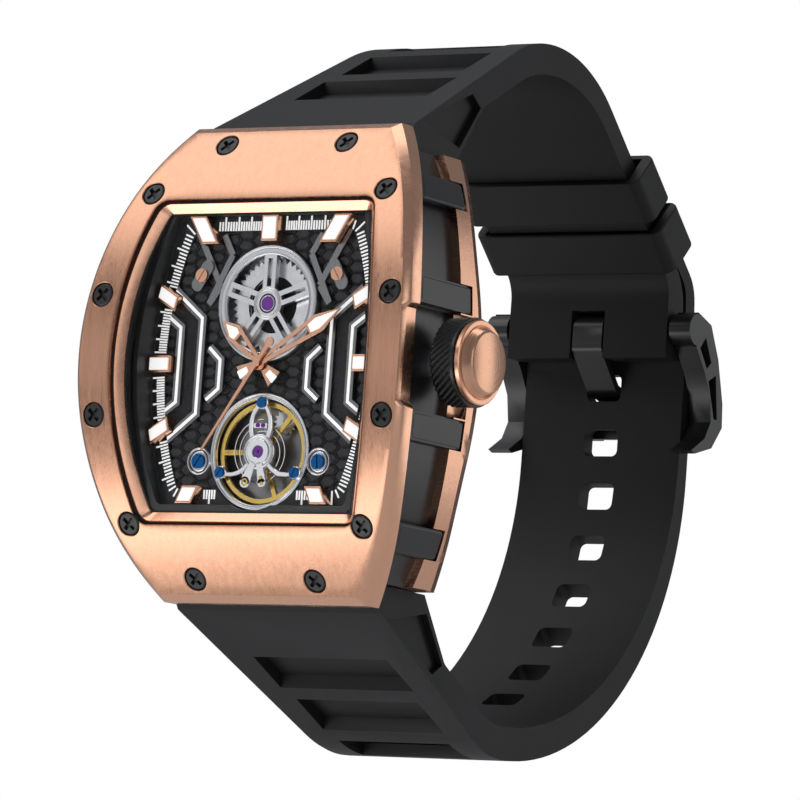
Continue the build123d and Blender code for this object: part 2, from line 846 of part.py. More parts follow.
# Barrel bridge: a ring on slotted spokes, standing on the main plate
barrel_bottom = barrel_ring_height - barrel_ring_thickness
barrel_spoke_run = barrel_ring_radius - barrel_ring_width / 2 - barrel_hub_radius / 2
spoke_middle = barrel_hub_radius / 2 + barrel_spoke_run / 2
spoke_length = barrel_spoke_run * barrel_spoke_slot_share
with BuildPart() as barrel_bridge:
    with BuildSketch(level(barrel_ring_height)):
        with Locations(barrel_centre):
            Circle(barrel_ring_radius)
            Circle(barrel_ring_radius - barrel_ring_width, mode=Mode.SUBTRACT)
            Circle(barrel_hub_radius)
            with PolarLocations(spoke_middle, barrel_spokes, barrel_first_spoke):
                Rectangle(barrel_spoke_run, barrel_spoke_width)
            with PolarLocations(spoke_middle, barrel_spokes, barrel_first_spoke):
                Rectangle(spoke_length, barrel_spoke_slot_width, mode=Mode.SUBTRACT)
            Circle(barrel_jewel_radius, mode=Mode.SUBTRACT)
    extrude(amount=-barrel_ring_thickness)
    with BuildSketch(level(barrel_bottom)):
        with Locations(barrel_centre):
            Circle(barrel_ring_radius)
            Circle(barrel_ring_radius - barrel_skirt_width, mode=Mode.SUBTRACT)
    extrude(amount=plate_height - barrel_bottom)
    with BuildSketch(level(barrel_ring_height)):
        with Locations(hand_centre):
            Circle(hour_pipe_radius + gap)
    extrude(amount=plate_height - barrel_ring_height, mode=Mode.SUBTRACT)

with BuildPart() as barrel_jewel:
    with BuildSketch(level(barrel_ring_height)):
        with Locations(barrel_centre):
            Circle(barrel_jewel_radius)
    extrude(amount=-barrel_ring_thickness)
    with BuildSketch(level(barrel_bottom)):
        with Locations(barrel_centre):
            Circle(jewel_bore + play)
    extrude(amount=barrel_ring_thickness / 2, mode=Mode.SUBTRACT)


def toothed(centre, teeth, radius, depth):
    """Outline of a wheel with pointed teeth."""
    points = []
    for tooth in range(teeth):
        for reach, lead in ((radius - depth, 0), (radius, 1)):
            angle = pi * (2 * tooth + lead) / teeth
            points.append((centre[0] + reach * cos(angle), centre[1] + reach * sin(angle)))
    with BuildSketch(Plane.XY) as wheel:
        with BuildLine():
            Polyline(*points, close=True)
        make_face()
    return wheel.sketch


barrel_web = barrel_wheel_height - barrel_wheel_thickness
with BuildPart() as barrel_wheel:
    with BuildSketch(level(barrel_wheel_height)):
        add(toothed(barrel_centre, barrel_wheel_teeth, barrel_wheel_radius, barrel_tooth_depth))
        add(ring_hole(barrel_centre, barrel_wheel_bore), mode=Mode.SUBTRACT)
    extrude(amount=-barrel_wheel_thickness)
    with BuildSketch(level(barrel_web)):
        with Locations(barrel_centre):
            Circle(barrel_wheel_bore + barrel_tooth_depth)
    extrude(amount=-barrel_wheel_thickness)
    with BuildSketch(level(barrel_bottom - gap)):
        with Locations(barrel_centre):
            Circle(barrel_arbor_radius)
    extrude(amount=plate_height + barrel_ring_thickness - barrel_ring_height + 2 * gap)
    with BuildSketch(level(barrel_bottom + pivot_length)):
        with Locations(barrel_centre):
            Circle(jewel_bore)
    extrude(amount=plate_height - barrel_bottom - 2 * pivot_length)


# Balance: the ring with two ears, the three-armed bridge, the wheel on its staff and the hairspring
ear_places = [(side * ear_reach, balance_up - ear_drop) for side in (1, -1)]
foot_places = [
    (bridge_arm_reach * cos(radians(angle)), balance_up + bridge_arm_reach * sin(radians(angle)))
    for angle in bridge_arm_angles
]
with BuildPart() as balance_ring:
    with BuildSketch(level(balance_ring_height)):
        with Locations(balance_centre):
            Circle(balance_ring_radius)
            Circle(balance_ring_radius - balance_ring_width, mode=Mode.SUBTRACT)
    extrude(amount=-balance_ring_thickness)
    with BuildSketch(level(balance_ring_height)):
        with Locations(*foot_places):
            Circle(bridge_foot_radius)
    extrude(amount=-bridge_lug_thickness)
    with BuildSketch(level(dial_height)):
        for place in ear_places:
            add(strip([place, (place[0] * ear_root_share, place[1])], 2 * ear_radius))
            with Locations(place):
                Circle(ear_radius)
        with Locations(balance_centre):
            Circle(balance_ring_radius - balance_ring_width, mode=Mode.SUBTRACT)
    extrude(amount=ear_height - dial_height)

bridge_top = balance_ring_height + bridge_thickness
with BuildPart() as balance_bridge:
    with BuildSketch(level(balance_ring_height)):
        with Locations(balance_centre):
            Circle(bridge_hub_radius)
            for angle in bridge_arm_angles:
                with PolarLocations(bridge_arm_reach / 2, 1, angle):
                    Rectangle(bridge_arm_reach, bridge_arm_width)
        with Locations(*foot_places):
            Circle(bridge_foot_radius)
        with Locations(balance_centre):
            Circle(jewel_radius, mode=Mode.SUBTRACT)
    extrude(amount=bridge_thickness)
    with BuildSketch(level(balance_ring_height)):
        with Locations((0, balance_up + stud_reach)):
            Circle(stud_radius)
    extrude(amount=spring_height - spring_width - balance_ring_height)


def slotted_heads(places, height, radius, rise):
    """Screw heads with a slot, standing on a height."""
    with BuildPart() as heads:
        with BuildSketch(level(height)):
            with Locations(*places):
                Circle(radius)
        extrude(amount=rise)
        with BuildSketch(level(height + rise)):
            with Locations(*places):
                Rectangle(2 * radius, dial_screw_slot)
        extrude(amount=-rise / 2, mode=Mode.SUBTRACT)
    return heads


ring_screws = slotted_heads(ear_places, ear_height, ear_screw_radius, ear_screw_rise)
bridge_screws = slotted_heads(foot_places, bridge_top, bridge_screw_radius, bridge_screw_rise)

with BuildPart() as balance_jewel:
    with BuildSketch(level(balance_ring_height)):
        with Locations(balance_centre):
            Circle(jewel_radius)
            Circle(pivot_radius + play, mode=Mode.SUBTRACT)
    extrude(amount=bridge_thickness)

with BuildPart() as regulator:
    with BuildSketch(level(bridge_top)):
        with Locations(balance_centre):
            Circle(jewel_radius + regulator_width)
            for angle in regulator_angles:
                with PolarLocations(regulator_length / 2, 1, angle):
                    Rectangle(regulator_length, regulator_width)
            Circle(jewel_radius + gap, mode=Mode.SUBTRACT)
    extrude(amount=regulator_thickness)

with BuildPart() as balance_wheel:
    with BuildSketch(level(balance_wheel_height)):
        with Locations(balance_centre):
            Circle(balance_wheel_radius)
            Circle(balance_wheel_radius - balance_rim_width, mode=Mode.SUBTRACT)
            Circle(balance_hub_radius)
            for angle in balance_spoke_angles:
                with PolarLocations(balance_wheel_radius / 2, 1, angle):
                    Rectangle(balance_wheel_radius - balance_rim_width / 2, balance_spoke_width)
            Circle(balance_staff_radius, mode=Mode.SUBTRACT)
    extrude(amount=-balance_wheel_thickness)

staff_top = balance_ring_height - gap
staff_length = staff_top - plate_height - gap
with BuildPart() as balance_staff:
    with BuildSketch(level(staff_top)):
        with Locations(balance_centre):
            Circle(balance_staff_radius)
    extrude(amount=-staff_length)
    with BuildSketch(level(staff_top + pivot_length)):
        with Locations(balance_centre):
            Circle(pivot_radius)
    extrude(amount=-staff_length - 2 * pivot_length)
    with BuildSketch(level(spring_height + spring_width / 2)):
        with Locations(balance_centre):
            Circle(collet_radius)
    extrude(amount=-spring_width)

# Hairspring: one ribbon wound in half turns, held by the collet and the stud
spring_quarter_step = spring_turn_step * spring_quarter_share
with BuildPart() as hairspring:
    with BuildLine(level(spring_height)) as coil:
        for half in range(spring_half_turns):
            side = 1 if half % 2 == 0 else -1
            radius = spring_first_radius + spring_turn_step * half / 2 + spring_quarter_step
            middle_up = balance_up - side * spring_quarter_step
            start, end = middle_up + side * radius, middle_up - side * radius
            ThreePointArc((0, start), (side * radius, middle_up), (0, end))
    with BuildSketch(Plane(origin=coil.line @ 0, x_dir=(0, -1, 0), z_dir=coil.line % 0)):
        Rectangle(spring_width, spring_wire)
    sweep()

# Escapement under the balance
escape_centre = (escape_across, escape_up)
pallet_centre = (pallet_across, pallet_up)
arbor_top = escape_height + pivot_length


def arbor(centre, radius, top):
    """Upright arbor on the main plate in the part under construction, with a pivot in its hole."""
    with BuildSketch(level(top)) as body:
        with Locations(centre):
            Circle(radius)
    extrude(body.sketch, amount=-(top - plate_height - gap))
    with BuildSketch(level(plate_height + gap)) as pivot:
        with Locations(centre):
            Circle(pivot_radius)
    extrude(pivot.sketch, amount=-pivot_length - gap)


with BuildPart() as escape_wheel:
    with BuildSketch(level(escape_height)):
        add(toothed(escape_centre, escape_teeth, escape_radius, escape_tooth_depth))
    extrude(amount=-escape_thickness)
    arbor(escape_centre, escape_bore, arbor_top)

fork_turn = degrees(atan2(balance_up - pallet_up, -pallet_across))
wheel_turn = degrees(atan2(escape_up - pallet_up, escape_across - pallet_across))
with BuildPart() as pallet_fork:
    with BuildSketch(level(escape_height)):
        with Locations(pallet_centre):
            with PolarLocations(pallet_lever / 2, 1, fork_turn):
                Rectangle(pallet_lever, pallet_width)
            for turn in (wheel_turn + pallet_spread, wheel_turn - pallet_spread):
                with PolarLocations(pallet_arm / 2, 1, turn):
                    Rectangle(pallet_arm, pallet_width)
            Circle(pallet_width)
    extrude(amount=-escape_thickness)
    arbor(pallet_centre, pallet_arbor_radius, arbor_top)

# Main plate with the pivot holes and the slot of the stem, and the ring and the bridge that hold it
pivot_places = [balance_centre, escape_centre, pallet_centre]
plate_back = plate_height - plate_thickness
stem_slot_width = 2 * (lever_half_width + gap)
with BuildPart() as main_plate:
    with BuildSketch(level(plate_height)):
        add(window_outline(-plate_inset))
        with Locations(*pivot_places):
            Circle(pivot_radius + play, mode=Mode.SUBTRACT)
        with Locations(barrel_centre):
            Circle(jewel_bore + play, mode=Mode.SUBTRACT)
        with Locations(hand_centre):
            Circle(seconds_pin_radius + play, mode=Mode.SUBTRACT)
        with Locations((lever_start - collar_length - 2 * gap + case_half_width, 0)):
            Rectangle(2 * case_half_width, stem_slot_width, mode=Mode.SUBTRACT)
    extrude(amount=-plate_thickness)
    with BuildSketch(crown_plane(stem_inner_end - gap)):
        Circle(stem_radius + play)
    extrude(amount=case_half_width, mode=Mode.SUBTRACT)

ring_bottom = -back_front_depth
with BuildPart() as movement_ring:
    with BuildSketch(level(dial_height - dial_thickness)):
        add(window_outline(cavity_grow - ring_inset))
        add(window_outline(cavity_grow - ring_inset - ring_width), mode=Mode.SUBTRACT)
    extrude(amount=ring_bottom - dial_height + dial_thickness)
    with BuildSketch(crown_plane(0)):
        Circle(stem_radius + gap)
    extrude(amount=case_half_width, mode=Mode.SUBTRACT)

with BuildPart() as rear_bridge:
    with BuildSketch(level(plate_back)):
        Circle(rear_bridge_radius)
    extrude(amount=-rear_bridge_thickness)

# Rotor: a half disc with a heavy rim, turning on a post of the rear bridge
bridge_back = plate_back - rear_bridge_thickness
rotor_back = rotor_height - rotor_thickness
with BuildPart() as rotor_post:
    with BuildSketch(level(bridge_back)):
        Circle(rotor_hub_radius - rotor_post_radius)
    extrude(amount=rotor_height + play - bridge_back)
    with BuildSketch(level(bridge_back)):
        Circle(rotor_post_radius)
    extrude(amount=rotor_back - play - bridge_back)
    with BuildSketch(level(rotor_back - play)):
        Circle(rotor_hub_radius - rotor_post_radius)
    extrude(amount=-rotor_cap)

with BuildPart() as rotor:
    with BuildSketch(level(rotor_height)):
        Circle(rotor_radius)
        with Locations((0, rotor_radius / 2 + rotor_hub_radius / 2)):
            Rectangle(2 * rotor_radius, rotor_radius, mode=Mode.SUBTRACT)
        Circle(rotor_radius - rotor_rim_width, mode=Mode.SUBTRACT)
    extrude(amount=-rotor_thickness)
    with BuildSketch(level(rotor_height)):
        Circle(rotor_radius - rotor_rim_width / 2)
        with Locations((0, rotor_radius / 2 + rotor_hub_radius / 2)):
            Rectangle(2 * rotor_radius, rotor_radius, mode=Mode.SUBTRACT)
    extrude(amount=-rotor_web_thickness)
    with BuildSketch(level(rotor_height)):
        Circle(rotor_hub_radius)
    extrude(amount=-rotor_thickness)
    with BuildSketch(level(0)):
        Circle(rotor_post_radius + play)
    extrude(amount=-2 * back_depth, mode=Mode.SUBTRACT)


def hand_plane(height, angle):
    """Plane at a height over the dial with its X along a hand."""
    turn = radians(angle)
    origin = (0, dial_y - height, hand_axis_up)
    return Plane(origin=origin, x_dir=(cos(turn), 0, sin(turn)), z_dir=(0, -1, 0))


def hand(angle, height, length, pipe_radius, bore, pipe_end):
    """Slotted hand with a tail, on a pipe that runs down its axis."""
    broad = hand_tip_share * length
    with BuildPart() as made:
        with BuildSketch(hand_plane(height, angle)):
            with BuildLine():
                Polyline(
                    (-hand_tail_length, -hand_tail_width / 2),
                    (0, -hand_neck_width / 2),
                    (broad, -hand_width / 2),
                    (length, 0),
                    (broad, hand_width / 2),
                    (0, hand_neck_width / 2),
                    (-hand_tail_length, hand_tail_width / 2),
                    close=True,
                )
            make_face()
            Circle(hand_boss_radius)
            with BuildLine():
                Polyline(
                    (hand_boss_radius + lume_rim, 0),
                    (hand_slot_share * length, -hand_slot_width / 2),
                    (hand_slot_share * length, hand_slot_width / 2),
                    close=True,
                )
            make_face(mode=Mode.SUBTRACT)
        extrude(amount=-hand_thickness)
        with BuildSketch(hand_plane(height, angle)):
            Circle(pipe_radius)
        extrude(amount=pipe_end - height)
        with BuildSketch(hand_plane(height, angle)):
            Circle(bore)
        extrude(amount=2 * (pipe_end - height), mode=Mode.SUBTRACT)
    return made


def hand_lume(angle, height, length):
    """White lume on the broad end of a hand and on its tail."""
    broad = hand_tip_share * length
    with BuildPart() as made:
        with BuildSketch(hand_plane(height, angle)):
            with BuildLine():
                Polyline(
                    (hand_slot_share * length + lume_rim, -hand_slot_width / 2),
                    (broad, -hand_width / 2 + lume_rim),
                    (length - 2 * lume_rim, 0),
                    (broad, hand_width / 2 - lume_rim),
                    (hand_slot_share * length + lume_rim, hand_slot_width / 2),
                    close=True,
                )
            make_face()
            with Locations((-(hand_tail_length + hand_boss_radius) / 2 - hand_boss_radius / 2, 0)):
                Rectangle(hand_tail_length - hand_boss_radius - 2 * lume_rim, hand_slot_width)
        extrude(amount=lume_height)
    return made


# Hands: each pipe turns inside or round the next
minute_bore = seconds_pin_radius + play
hour_bore = minute_pipe_radius + play
minute_pipe_end = plate_height + gap
hour_place = (hour_hand_angle, hour_hand_height, hour_hand_length)
minute_place = (minute_hand_angle, minute_hand_height, minute_hand_length)
hour_hand = hand(*hour_place, hour_pipe_radius, hour_bore, hour_pipe_end)
minute_hand = hand(*minute_place, minute_pipe_radius, minute_bore, minute_pipe_end)
hour_lume = hand_lume(*hour_place)
minute_lume = hand_lume(*minute_place)

with BuildPart() as seconds_hand:
    with BuildSketch(hand_plane(seconds_hand_height, seconds_hand_angle)):
        with BuildLine():
            Polyline(
                (-seconds_tail_length, -seconds_width / 2),
                (seconds_hand_length, -seconds_width * seconds_tip_share),
                (seconds_hand_length, seconds_width * seconds_tip_share),
                (-seconds_tail_length, seconds_width / 2),
                close=True,
            )
        make_face()
        Circle(minute_pipe_radius)
        with Locations((-seconds_tail_length, 0)):
            Circle(seconds_width)
    extrude(amount=-hand_thickness)
    with BuildSketch(hand_plane(seconds_hand_height, seconds_hand_angle)):
        Circle(seconds_pin_radius)
    extrude(amount=plate_back + gap - seconds_hand_height)

# Crown: a knurled grip with a gold cap, on the stem that runs into the movement
crown_grip_end = crown_start + crown_grip_length
crown_cap_end = crown_grip_end + crown_cap_thickness
with BuildPart() as crown_grip:
    with BuildSketch(crown_plane(crown_start)):
        add(toothed((0, 0), crown_teeth, crown_grip_radius, crown_tooth_depth))
        Circle(crown_bore, mode=Mode.SUBTRACT)
    extrude(amount=crown_grip_length - crown_roof)
    with BuildSketch(crown_plane(crown_grip_end - crown_roof)):
        add(toothed((0, 0), crown_teeth, crown_grip_radius, crown_tooth_depth))
        Circle(stem_radius, mode=Mode.SUBTRACT)
    extrude(amount=crown_roof)

with BuildPart() as crown_cap:
    with BuildSketch(crown_plane(crown_grip_end)):
        Circle(crown_cap_radius)
    extrude(amount=crown_cap_thickness)
    with BuildSketch(crown_plane(crown_cap_end)):
        Circle(crown_dome_radius)
    with BuildSketch(crown_plane(crown_cap_end + crown_dome_height)):
        Circle(crown_face_radius)
    loft()

with BuildPart() as stem:
    with BuildSketch(crown_plane(stem_inner_end)):
        Circle(stem_radius)
    extrude(amount=crown_grip_end - stem_inner_end)
    for start in (lever_start - play - collar_length, lever_start + lever_length + play):
        with BuildSketch(crown_plane(start)):
            Circle(collar_radius)
        extrude(amount=collar_length)

with BuildPart() as crown_tube:
    with BuildSketch(crown_plane(window_half_width + cavity_grow)):
        Circle(crown_tube_radius)
        Circle(stem_radius + play, mode=Mode.SUBTRACT)
    extrude(amount=crown_tube_end - window_half_width - cavity_grow)

with BuildPart() as setting_lever:
    with BuildSketch(crown_plane(lever_start)):
        Rectangle(2 * lever_half_depth, 2 * lever_half_width)
        Circle(stem_radius + play, mode=Mode.SUBTRACT)
        with Locations((-lever_half_depth, 0)):
            Rectangle(2 * lever_half_depth, 2 * (stem_radius + play), mode=Mode.SUBTRACT)
    extrude(amount=lever_length)


def on_loop(shares):
    """Point of the strap's side view, from shares of the loop's depth and rise."""
    return Vector(dial_y + shares[0] * loop_depth, shares[1] * loop_rise)


def corner_between(first, first_way, second, second_way):
    """Point where two lines of the side view meet."""
    cross = first_way.X * second_way.Y - first_way.Y * second_way.X
    apart = second - first
    return first + first_way * ((apart.X * second_way.Y - apart.Y * second_way.X) / cross)


def beside(points, distances):
    """Path beside another, each stretch at its own distance to the left."""
    ways = [(after - before).normalized() for before, after in zip(points, points[1:])]
    starts = [
        point + Vector(-way.Y, way.X) * distance for point, way, distance in zip(points, ways, distances)
    ]
    last = points[-1] + Vector(-ways[-1].Y, ways[-1].X) * distances[-1]
    corners = [corner_between(starts[i], ways[i], starts[i + 1], ways[i + 1]) for i in range(len(ways) - 1)]
    return [starts[0], *corners, last]


def strap_half(depth):
    """Half width of the strap at a depth."""
    share = min(max((depth - root_depth) / (strap_narrow_depth - root_depth), 0.0), 1.0)
    return strap_root_half_width + share * (strap_half_width - strap_root_half_width)


def narrow_to_plan():
    """Keep the part under construction within the strap's outline seen from above."""
    with BuildSketch(Plane.XY) as plan:
        with BuildLine():
            Polyline(
                (-strap_root_half_width, dial_y),
                (strap_root_half_width, dial_y),
                (strap_root_half_width, dial_y + root_depth),
                (strap_half_width, dial_y + strap_narrow_depth),
                (strap_half_width, dial_y + 2 * loop_depth),
                (-strap_half_width, dial_y + 2 * loop_depth),
                (-strap_half_width, dial_y + strap_narrow_depth),
                (-strap_root_half_width, dial_y + root_depth),
                close=True,
            )
        make_face()
    extrude(plan.sketch, amount=loop_depth, both=True, mode=Mode.INTERSECT)


def cut_side_pockets(side):
    """Cut the shallow pockets into both edges of a strap beside the case."""
    taper = (strap_half_width - strap_root_half_width) / (strap_narrow_depth - root_depth)
    for hand_side in (1, -1):
        plane = Plane(
            origin=(hand_side * (strap_root_half_width - side_pocket_depth), dial_y + root_depth, 0),
            x_dir=(hand_side * taper, 1, 0),
            z_dir=(1, -hand_side * taper, 0),
        )
        with BuildSketch(plane) as pocket:
            with BuildLine(Plane.XY) as edge:
                Polyline(
                    *[(a * loop_depth - root_depth, side * b * loop_rise) for a, b in side_pocket_shares],
                    close=True,
                )
            make_face(edge.edges())
        extrude(pocket.sketch, amount=hand_side * strap_root_half_width / 2, mode=Mode.SUBTRACT)


def strap_root(side):
    """Add the tongue that reaches into the middle case, with its screw holes."""
    with BuildSketch(level(-tongue_depths[0])) as tongue:
        with Locations((0, side * (strap_start_up - tongue_length / 2))):
            Rectangle(2 * tongue_half_width, tongue_length)
        with Locations(*[place for place in strap_screw_places if place[1] * side > 0]):
            Circle(tongue_screw_radius + gap, mode=Mode.SUBTRACT)
    extrude(tongue.sketch, amount=tongue_depths[0] - tongue_depths[1])


# Upper strap: from the case over the crest to the buckle bar
root_front = bow(bezel_rear, strap_start_up) + root_gap
upper_lip = Vector(dial_y + strap_lip_depth, strap_start_up)
upper_inner = [upper_lip, *[on_loop(share) for share in upper_path_shares]]
upper_start = Vector(dial_y + root_depth, root_up)
upper_far = beside(upper_inner[1:], upper_thicknesses)
upper_outer = [upper_start, *upper_far[1:]]
bar_centre = Vector(dial_y + bar_depth, bar_up)
bar_plane = Plane(origin=(0, bar_centre.X, bar_centre.Y), x_dir=(0, 1, 0), z_dir=(1, 0, 0))


def ladder_room(roof, floor, bends):
    """Room of the blind slots in the outer face of a strap."""
    with BuildPart() as room:
        with BuildSketch(Plane.YZ):
            with BuildLine():
                high = FilletPolyline(*roof, radius=bends)
                low = FilletPolyline(*floor, radius=bends)
                Line(high @ 0, low @ 0)
                Line(high @ 1, low @ 1)
            make_face()
        extrude(amount=strap_root_half_width, both=True)
        with BuildSketch(Plane.XY) as slots:
            for start, end in ladder_depth_shares:
                middle = (start + end) / 2 * loop_depth
                with Locations((0, dial_y + middle)):
                    Rectangle(2 * (strap_half(middle) - ladder_rail), (end - start) * loop_depth)
        extrude(slots.sketch, amount=loop_depth, both=True, mode=Mode.INTERSECT)
    return room.part


upper_bends = (crest_outer_bend, buckle_outer_bend)
with BuildPart() as upper_strap:
    with BuildSketch(Plane.YZ):
        with BuildLine():
            outer = FilletPolyline(*upper_outer, radius=upper_bends)
            inner = FilletPolyline(*upper_inner, radius=(lip_bend, crest_bend, buckle_bend))
            Polyline(outer @ 0, (root_front, strap_start_up), inner @ 0)
            Line(outer @ 1, inner @ 1)
        make_face()
    extrude(amount=strap_root_half_width, both=True)
    narrow_to_plan()
    add(
        ladder_room(
            beside(upper_outer, [overrun] * len(upper_thicknesses)),
            beside(upper_outer, [-ladder_depth] * len(upper_thicknesses)),
            upper_bends,
        ),
        mode=Mode.SUBTRACT,
    )
    cut_side_pockets(1)
    strap_root(1)
    with BuildSketch(bar_plane.offset(-strap_half_width)):
        Circle(bar_radius)
    extrude(amount=2 * strap_half_width, mode=Mode.SUBTRACT)
    with BuildSketch(Plane.XY.offset(prong_slot_up)):
        with Locations((0, bar_centre.X)):
            Rectangle(prong_width + 2 * prong_slot_gap, buckle_depth)
    extrude(amount=-buckle_drop, mode=Mode.SUBTRACT)

# Lower strap: from the case down, round the sweep with its holes and up inside the keepers
crest, strap_corner = upper_inner[2:-1]
along = (crest - strap_corner).normalized()
outward = Vector(along.Y, -along.X)
tail_reach = fixed_keeper_place + keeper_length / 2 + tail_past_keeper
tail_tip = strap_corner + along * tail_reach + outward * (upper_thicknesses[1] + layer_gap)
lower_points = [on_loop(share) for share in lower_path_shares]
tail_lean = on_loop(tail_lean_shares) - Vector(dial_y, 0)
tail_corner = corner_between(lower_points[-1], tail_lean, tail_tip, along)
lower_inner = [Vector(dial_y + strap_lip_depth, -strap_start_up), *lower_points, tail_corner, tail_tip]
lower_far = beside(lower_inner[1:], [-thick for thick in lower_thicknesses])
lower_outer = [Vector(dial_y + root_depth, -root_up), *lower_far[1:]]
sweep_centre = lower_points[2] + Vector(-lower_bends[1], lower_bends[1])
hole_turn = degrees(hole_pitch / lower_bends[1])

with BuildPart() as lower_strap:
    with BuildSketch(Plane.YZ):
        with BuildLine():
            outer = FilletPolyline(*lower_outer, radius=lower_outer_bends)
            inner = FilletPolyline(*lower_inner, radius=(lip_bend, *lower_bends))
            Polyline(outer @ 0, (root_front, -strap_start_up), inner @ 0)
            Line(outer @ 1, inner @ 1)
        make_face()
    extrude(amount=strap_root_half_width, both=True)
    narrow_to_plan()
    add(
        ladder_room(
            beside(lower_outer, [-overrun] * len(lower_thicknesses)),
            beside(lower_outer, [ladder_depth] * len(lower_thicknesses)),
            lower_outer_bends,
        ),
        mode=Mode.SUBTRACT,
    )
    cut_side_pockets(-1)
    strap_root(-1)
    for hole in range(sweep_holes):
        angle = radians(first_hole_angle - hole * hole_turn)
        away = (0, cos(angle), sin(angle))
        with BuildSketch(Plane(origin=(0, sweep_centre.X, sweep_centre.Y), x_dir=(1, 0, 0), z_dir=away)):
            RectangleRounded(hole_length, hole_height, hole_corner)
        extrude(amount=2 * lower_bends[1], mode=Mode.SUBTRACT)
    with BuildSketch(Plane(origin=(0, bar_centre.X, prong_hole_up), x_dir=(1, 0, 0), z_dir=(0, 1, 0))):
        RectangleRounded(hole_length, hole_height, hole_corner)
    extrude(amount=buckle_depth, mode=Mode.SUBTRACT)


def keeper(place, room, under):
    """Flat loop round the strap at a place along its straight run."""
    foot = strap_corner + along * (place - keeper_length / 2)
    plane = Plane(origin=(0, foot.X, foot.Y), x_dir=(1, 0, 0), z_dir=(0, along.X, along.Y))
    inner_width = 2 * (strap_half_width + keeper_side_gap)
    with BuildPart() as loop:
        with BuildSketch(plane):
            with Locations((0, room / 2 - under)):
                RectangleRounded(inner_width + 2 * keeper_side_wall, room + 2 * keeper_wall, keeper_corner)
                Rectangle(inner_width, room, mode=Mode.SUBTRACT)
        extrude(amount=keeper_length)
    return loop


fixed_keeper = keeper(fixed_keeper_place, fixed_keeper_room, 0)
free_keeper = keeper(free_keeper_place, free_keeper_room, keeper_play)

# Buckle: the bar in the strap's end, the frame with its two windowed ears and the prong
ear_start = strap_half_width + ear_gap
ear_planes = [bar_plane.offset(ear_start), bar_plane.offset(-ear_start - ear_thickness)]


def from_bar(shares):
    """Points of the buckle's side view, from the bar, by shares of its depth and drop."""
    return [(a * buckle_depth, b * buckle_drop) for a, b in shares]


with BuildPart() as buckle_bar:
    with BuildSketch(bar_plane.offset(-bar_end)):
        Circle(bar_radius)
    extrude(amount=2 * bar_end)

with BuildPart() as buckle_frame:
    with BuildSketch(*ear_planes):
        with BuildLine(Plane.XY) as ear:
            Polyline(*from_bar(buckle_outer_shares), *from_bar(buckle_inner_shares), close=True)
        make_face(ear.edges())
        Circle(ear_boss_radius)
    extrude(amount=ear_thickness)
    for window in ear_window_shares:
        with BuildSketch(bar_plane.offset(-2 * ear_start)):
            with BuildLine(Plane.XY) as opening:
                Polyline(*from_bar(window), close=True)
            make_face(opening.edges())
        extrude(amount=case_half_width + 2 * ear_start, mode=Mode.SUBTRACT)
    crossbar_wide = (crossbar_shares[1] - crossbar_shares[0]) * buckle_depth
    crossbar_tall = (crossbar_drop_shares[1] - crossbar_drop_shares[0]) * buckle_drop
    crossbar_place = from_bar([(sum(crossbar_shares) / 2, sum(crossbar_drop_shares) / 2)])[0]
    with BuildSketch(bar_plane.offset(-ear_start - ear_gap)):
        with Locations(crossbar_place):
            Rectangle(crossbar_wide, crossbar_tall)
    extrude(amount=2 * (ear_start + ear_gap))
    with BuildSketch(bar_plane.offset(-crossbar_notch_width / 2)):
        with Locations((crossbar_place[0] + crossbar_notch_depth, crossbar_place[1])):
            Rectangle(crossbar_wide, 2 * crossbar_tall)
    extrude(amount=crossbar_notch_width, mode=Mode.SUBTRACT)
    with BuildSketch(bar_plane.offset(-bar_end - gap)):
        Circle(bar_radius + play)
    extrude(amount=2 * (bar_end + gap), mode=Mode.SUBTRACT)

with BuildPart() as buckle_prong:
    with BuildSketch(bar_plane.offset(-prong_width / 2)):
        with BuildLine(Plane.XY) as middle:
            FilletPolyline(*from_bar(prong_path_shares), radius=prong_bend)
        trace(middle.edges(), prong_thickness)
        Circle(bar_radius + play + prong_thickness)
        Circle(bar_radius + play, mode=Mode.SUBTRACT)
    extrude(amount=prong_width)

pieces = {
    "bezel": bezel,
    "bezel_screws": bezel_screws,
    "crystal": crystal,
    "crystal_gasket": crystal_gasket,
    "bezel_gasket": bezel_gasket,
    "case_middle": case_middle,
    "case_back": case_back,
    "back_gasket": back_gasket,
    "back_crystal": back_crystal,
    "back_glass_ring": back_glass_ring,
    "back_screws": back_screws,
    "strap_screws": strap_screws,
    "minute_flange": minute_flange,
    "dial_plate": dial_plate,
    "dial_frames": dial_frames,
    "frame_inlays": frame_inlays,
    "hour_markers": hour_markers,
    "marker_lume": marker_lume,
    "upper_struts": upper_struts,
    "strut_plates": strut_plates,
    "dial_screws": dial_screws,
    "barrel_bridge": barrel_bridge,
    "barrel_jewel": barrel_jewel,
    "barrel_wheel": barrel_wheel,
    "balance_ring": balance_ring,
    "balance_bridge": balance_bridge,
    "ring_screws": ring_screws,
    "bridge_screws": bridge_screws,
    "balance_jewel": balance_jewel,
    "regulator": regulator,
    "balance_wheel": balance_wheel,
    "balance_staff": balance_staff,
    "hairspring": hairspring,
    "escape_wheel": escape_wheel,
    "pallet_fork": pallet_fork,
    "main_plate": main_plate,
    "movement_ring": movement_ring,
    "rear_bridge": rear_bridge,
    "rotor_post": rotor_post,
    "rotor": rotor,
    "hour_hand": hour_hand,
    "hour_lume": hour_lume,
    "minute_hand": minute_hand,
    "minute_lume": minute_lume,
    "seconds_hand": seconds_hand,
    "crown_grip": crown_grip,
    "crown_cap": crown_cap,
    "stem": stem,
    "crown_tube": crown_tube,
    "setting_lever": setting_lever,
    "upper_strap": upper_strap,
    "lower_strap": lower_strap,
    "fixed_keeper": fixed_keeper,
    "free_keeper": free_keeper,
    "buckle_bar": buckle_bar,
    "buckle_frame": buckle_frame,
    "buckle_prong": buckle_prong,
}

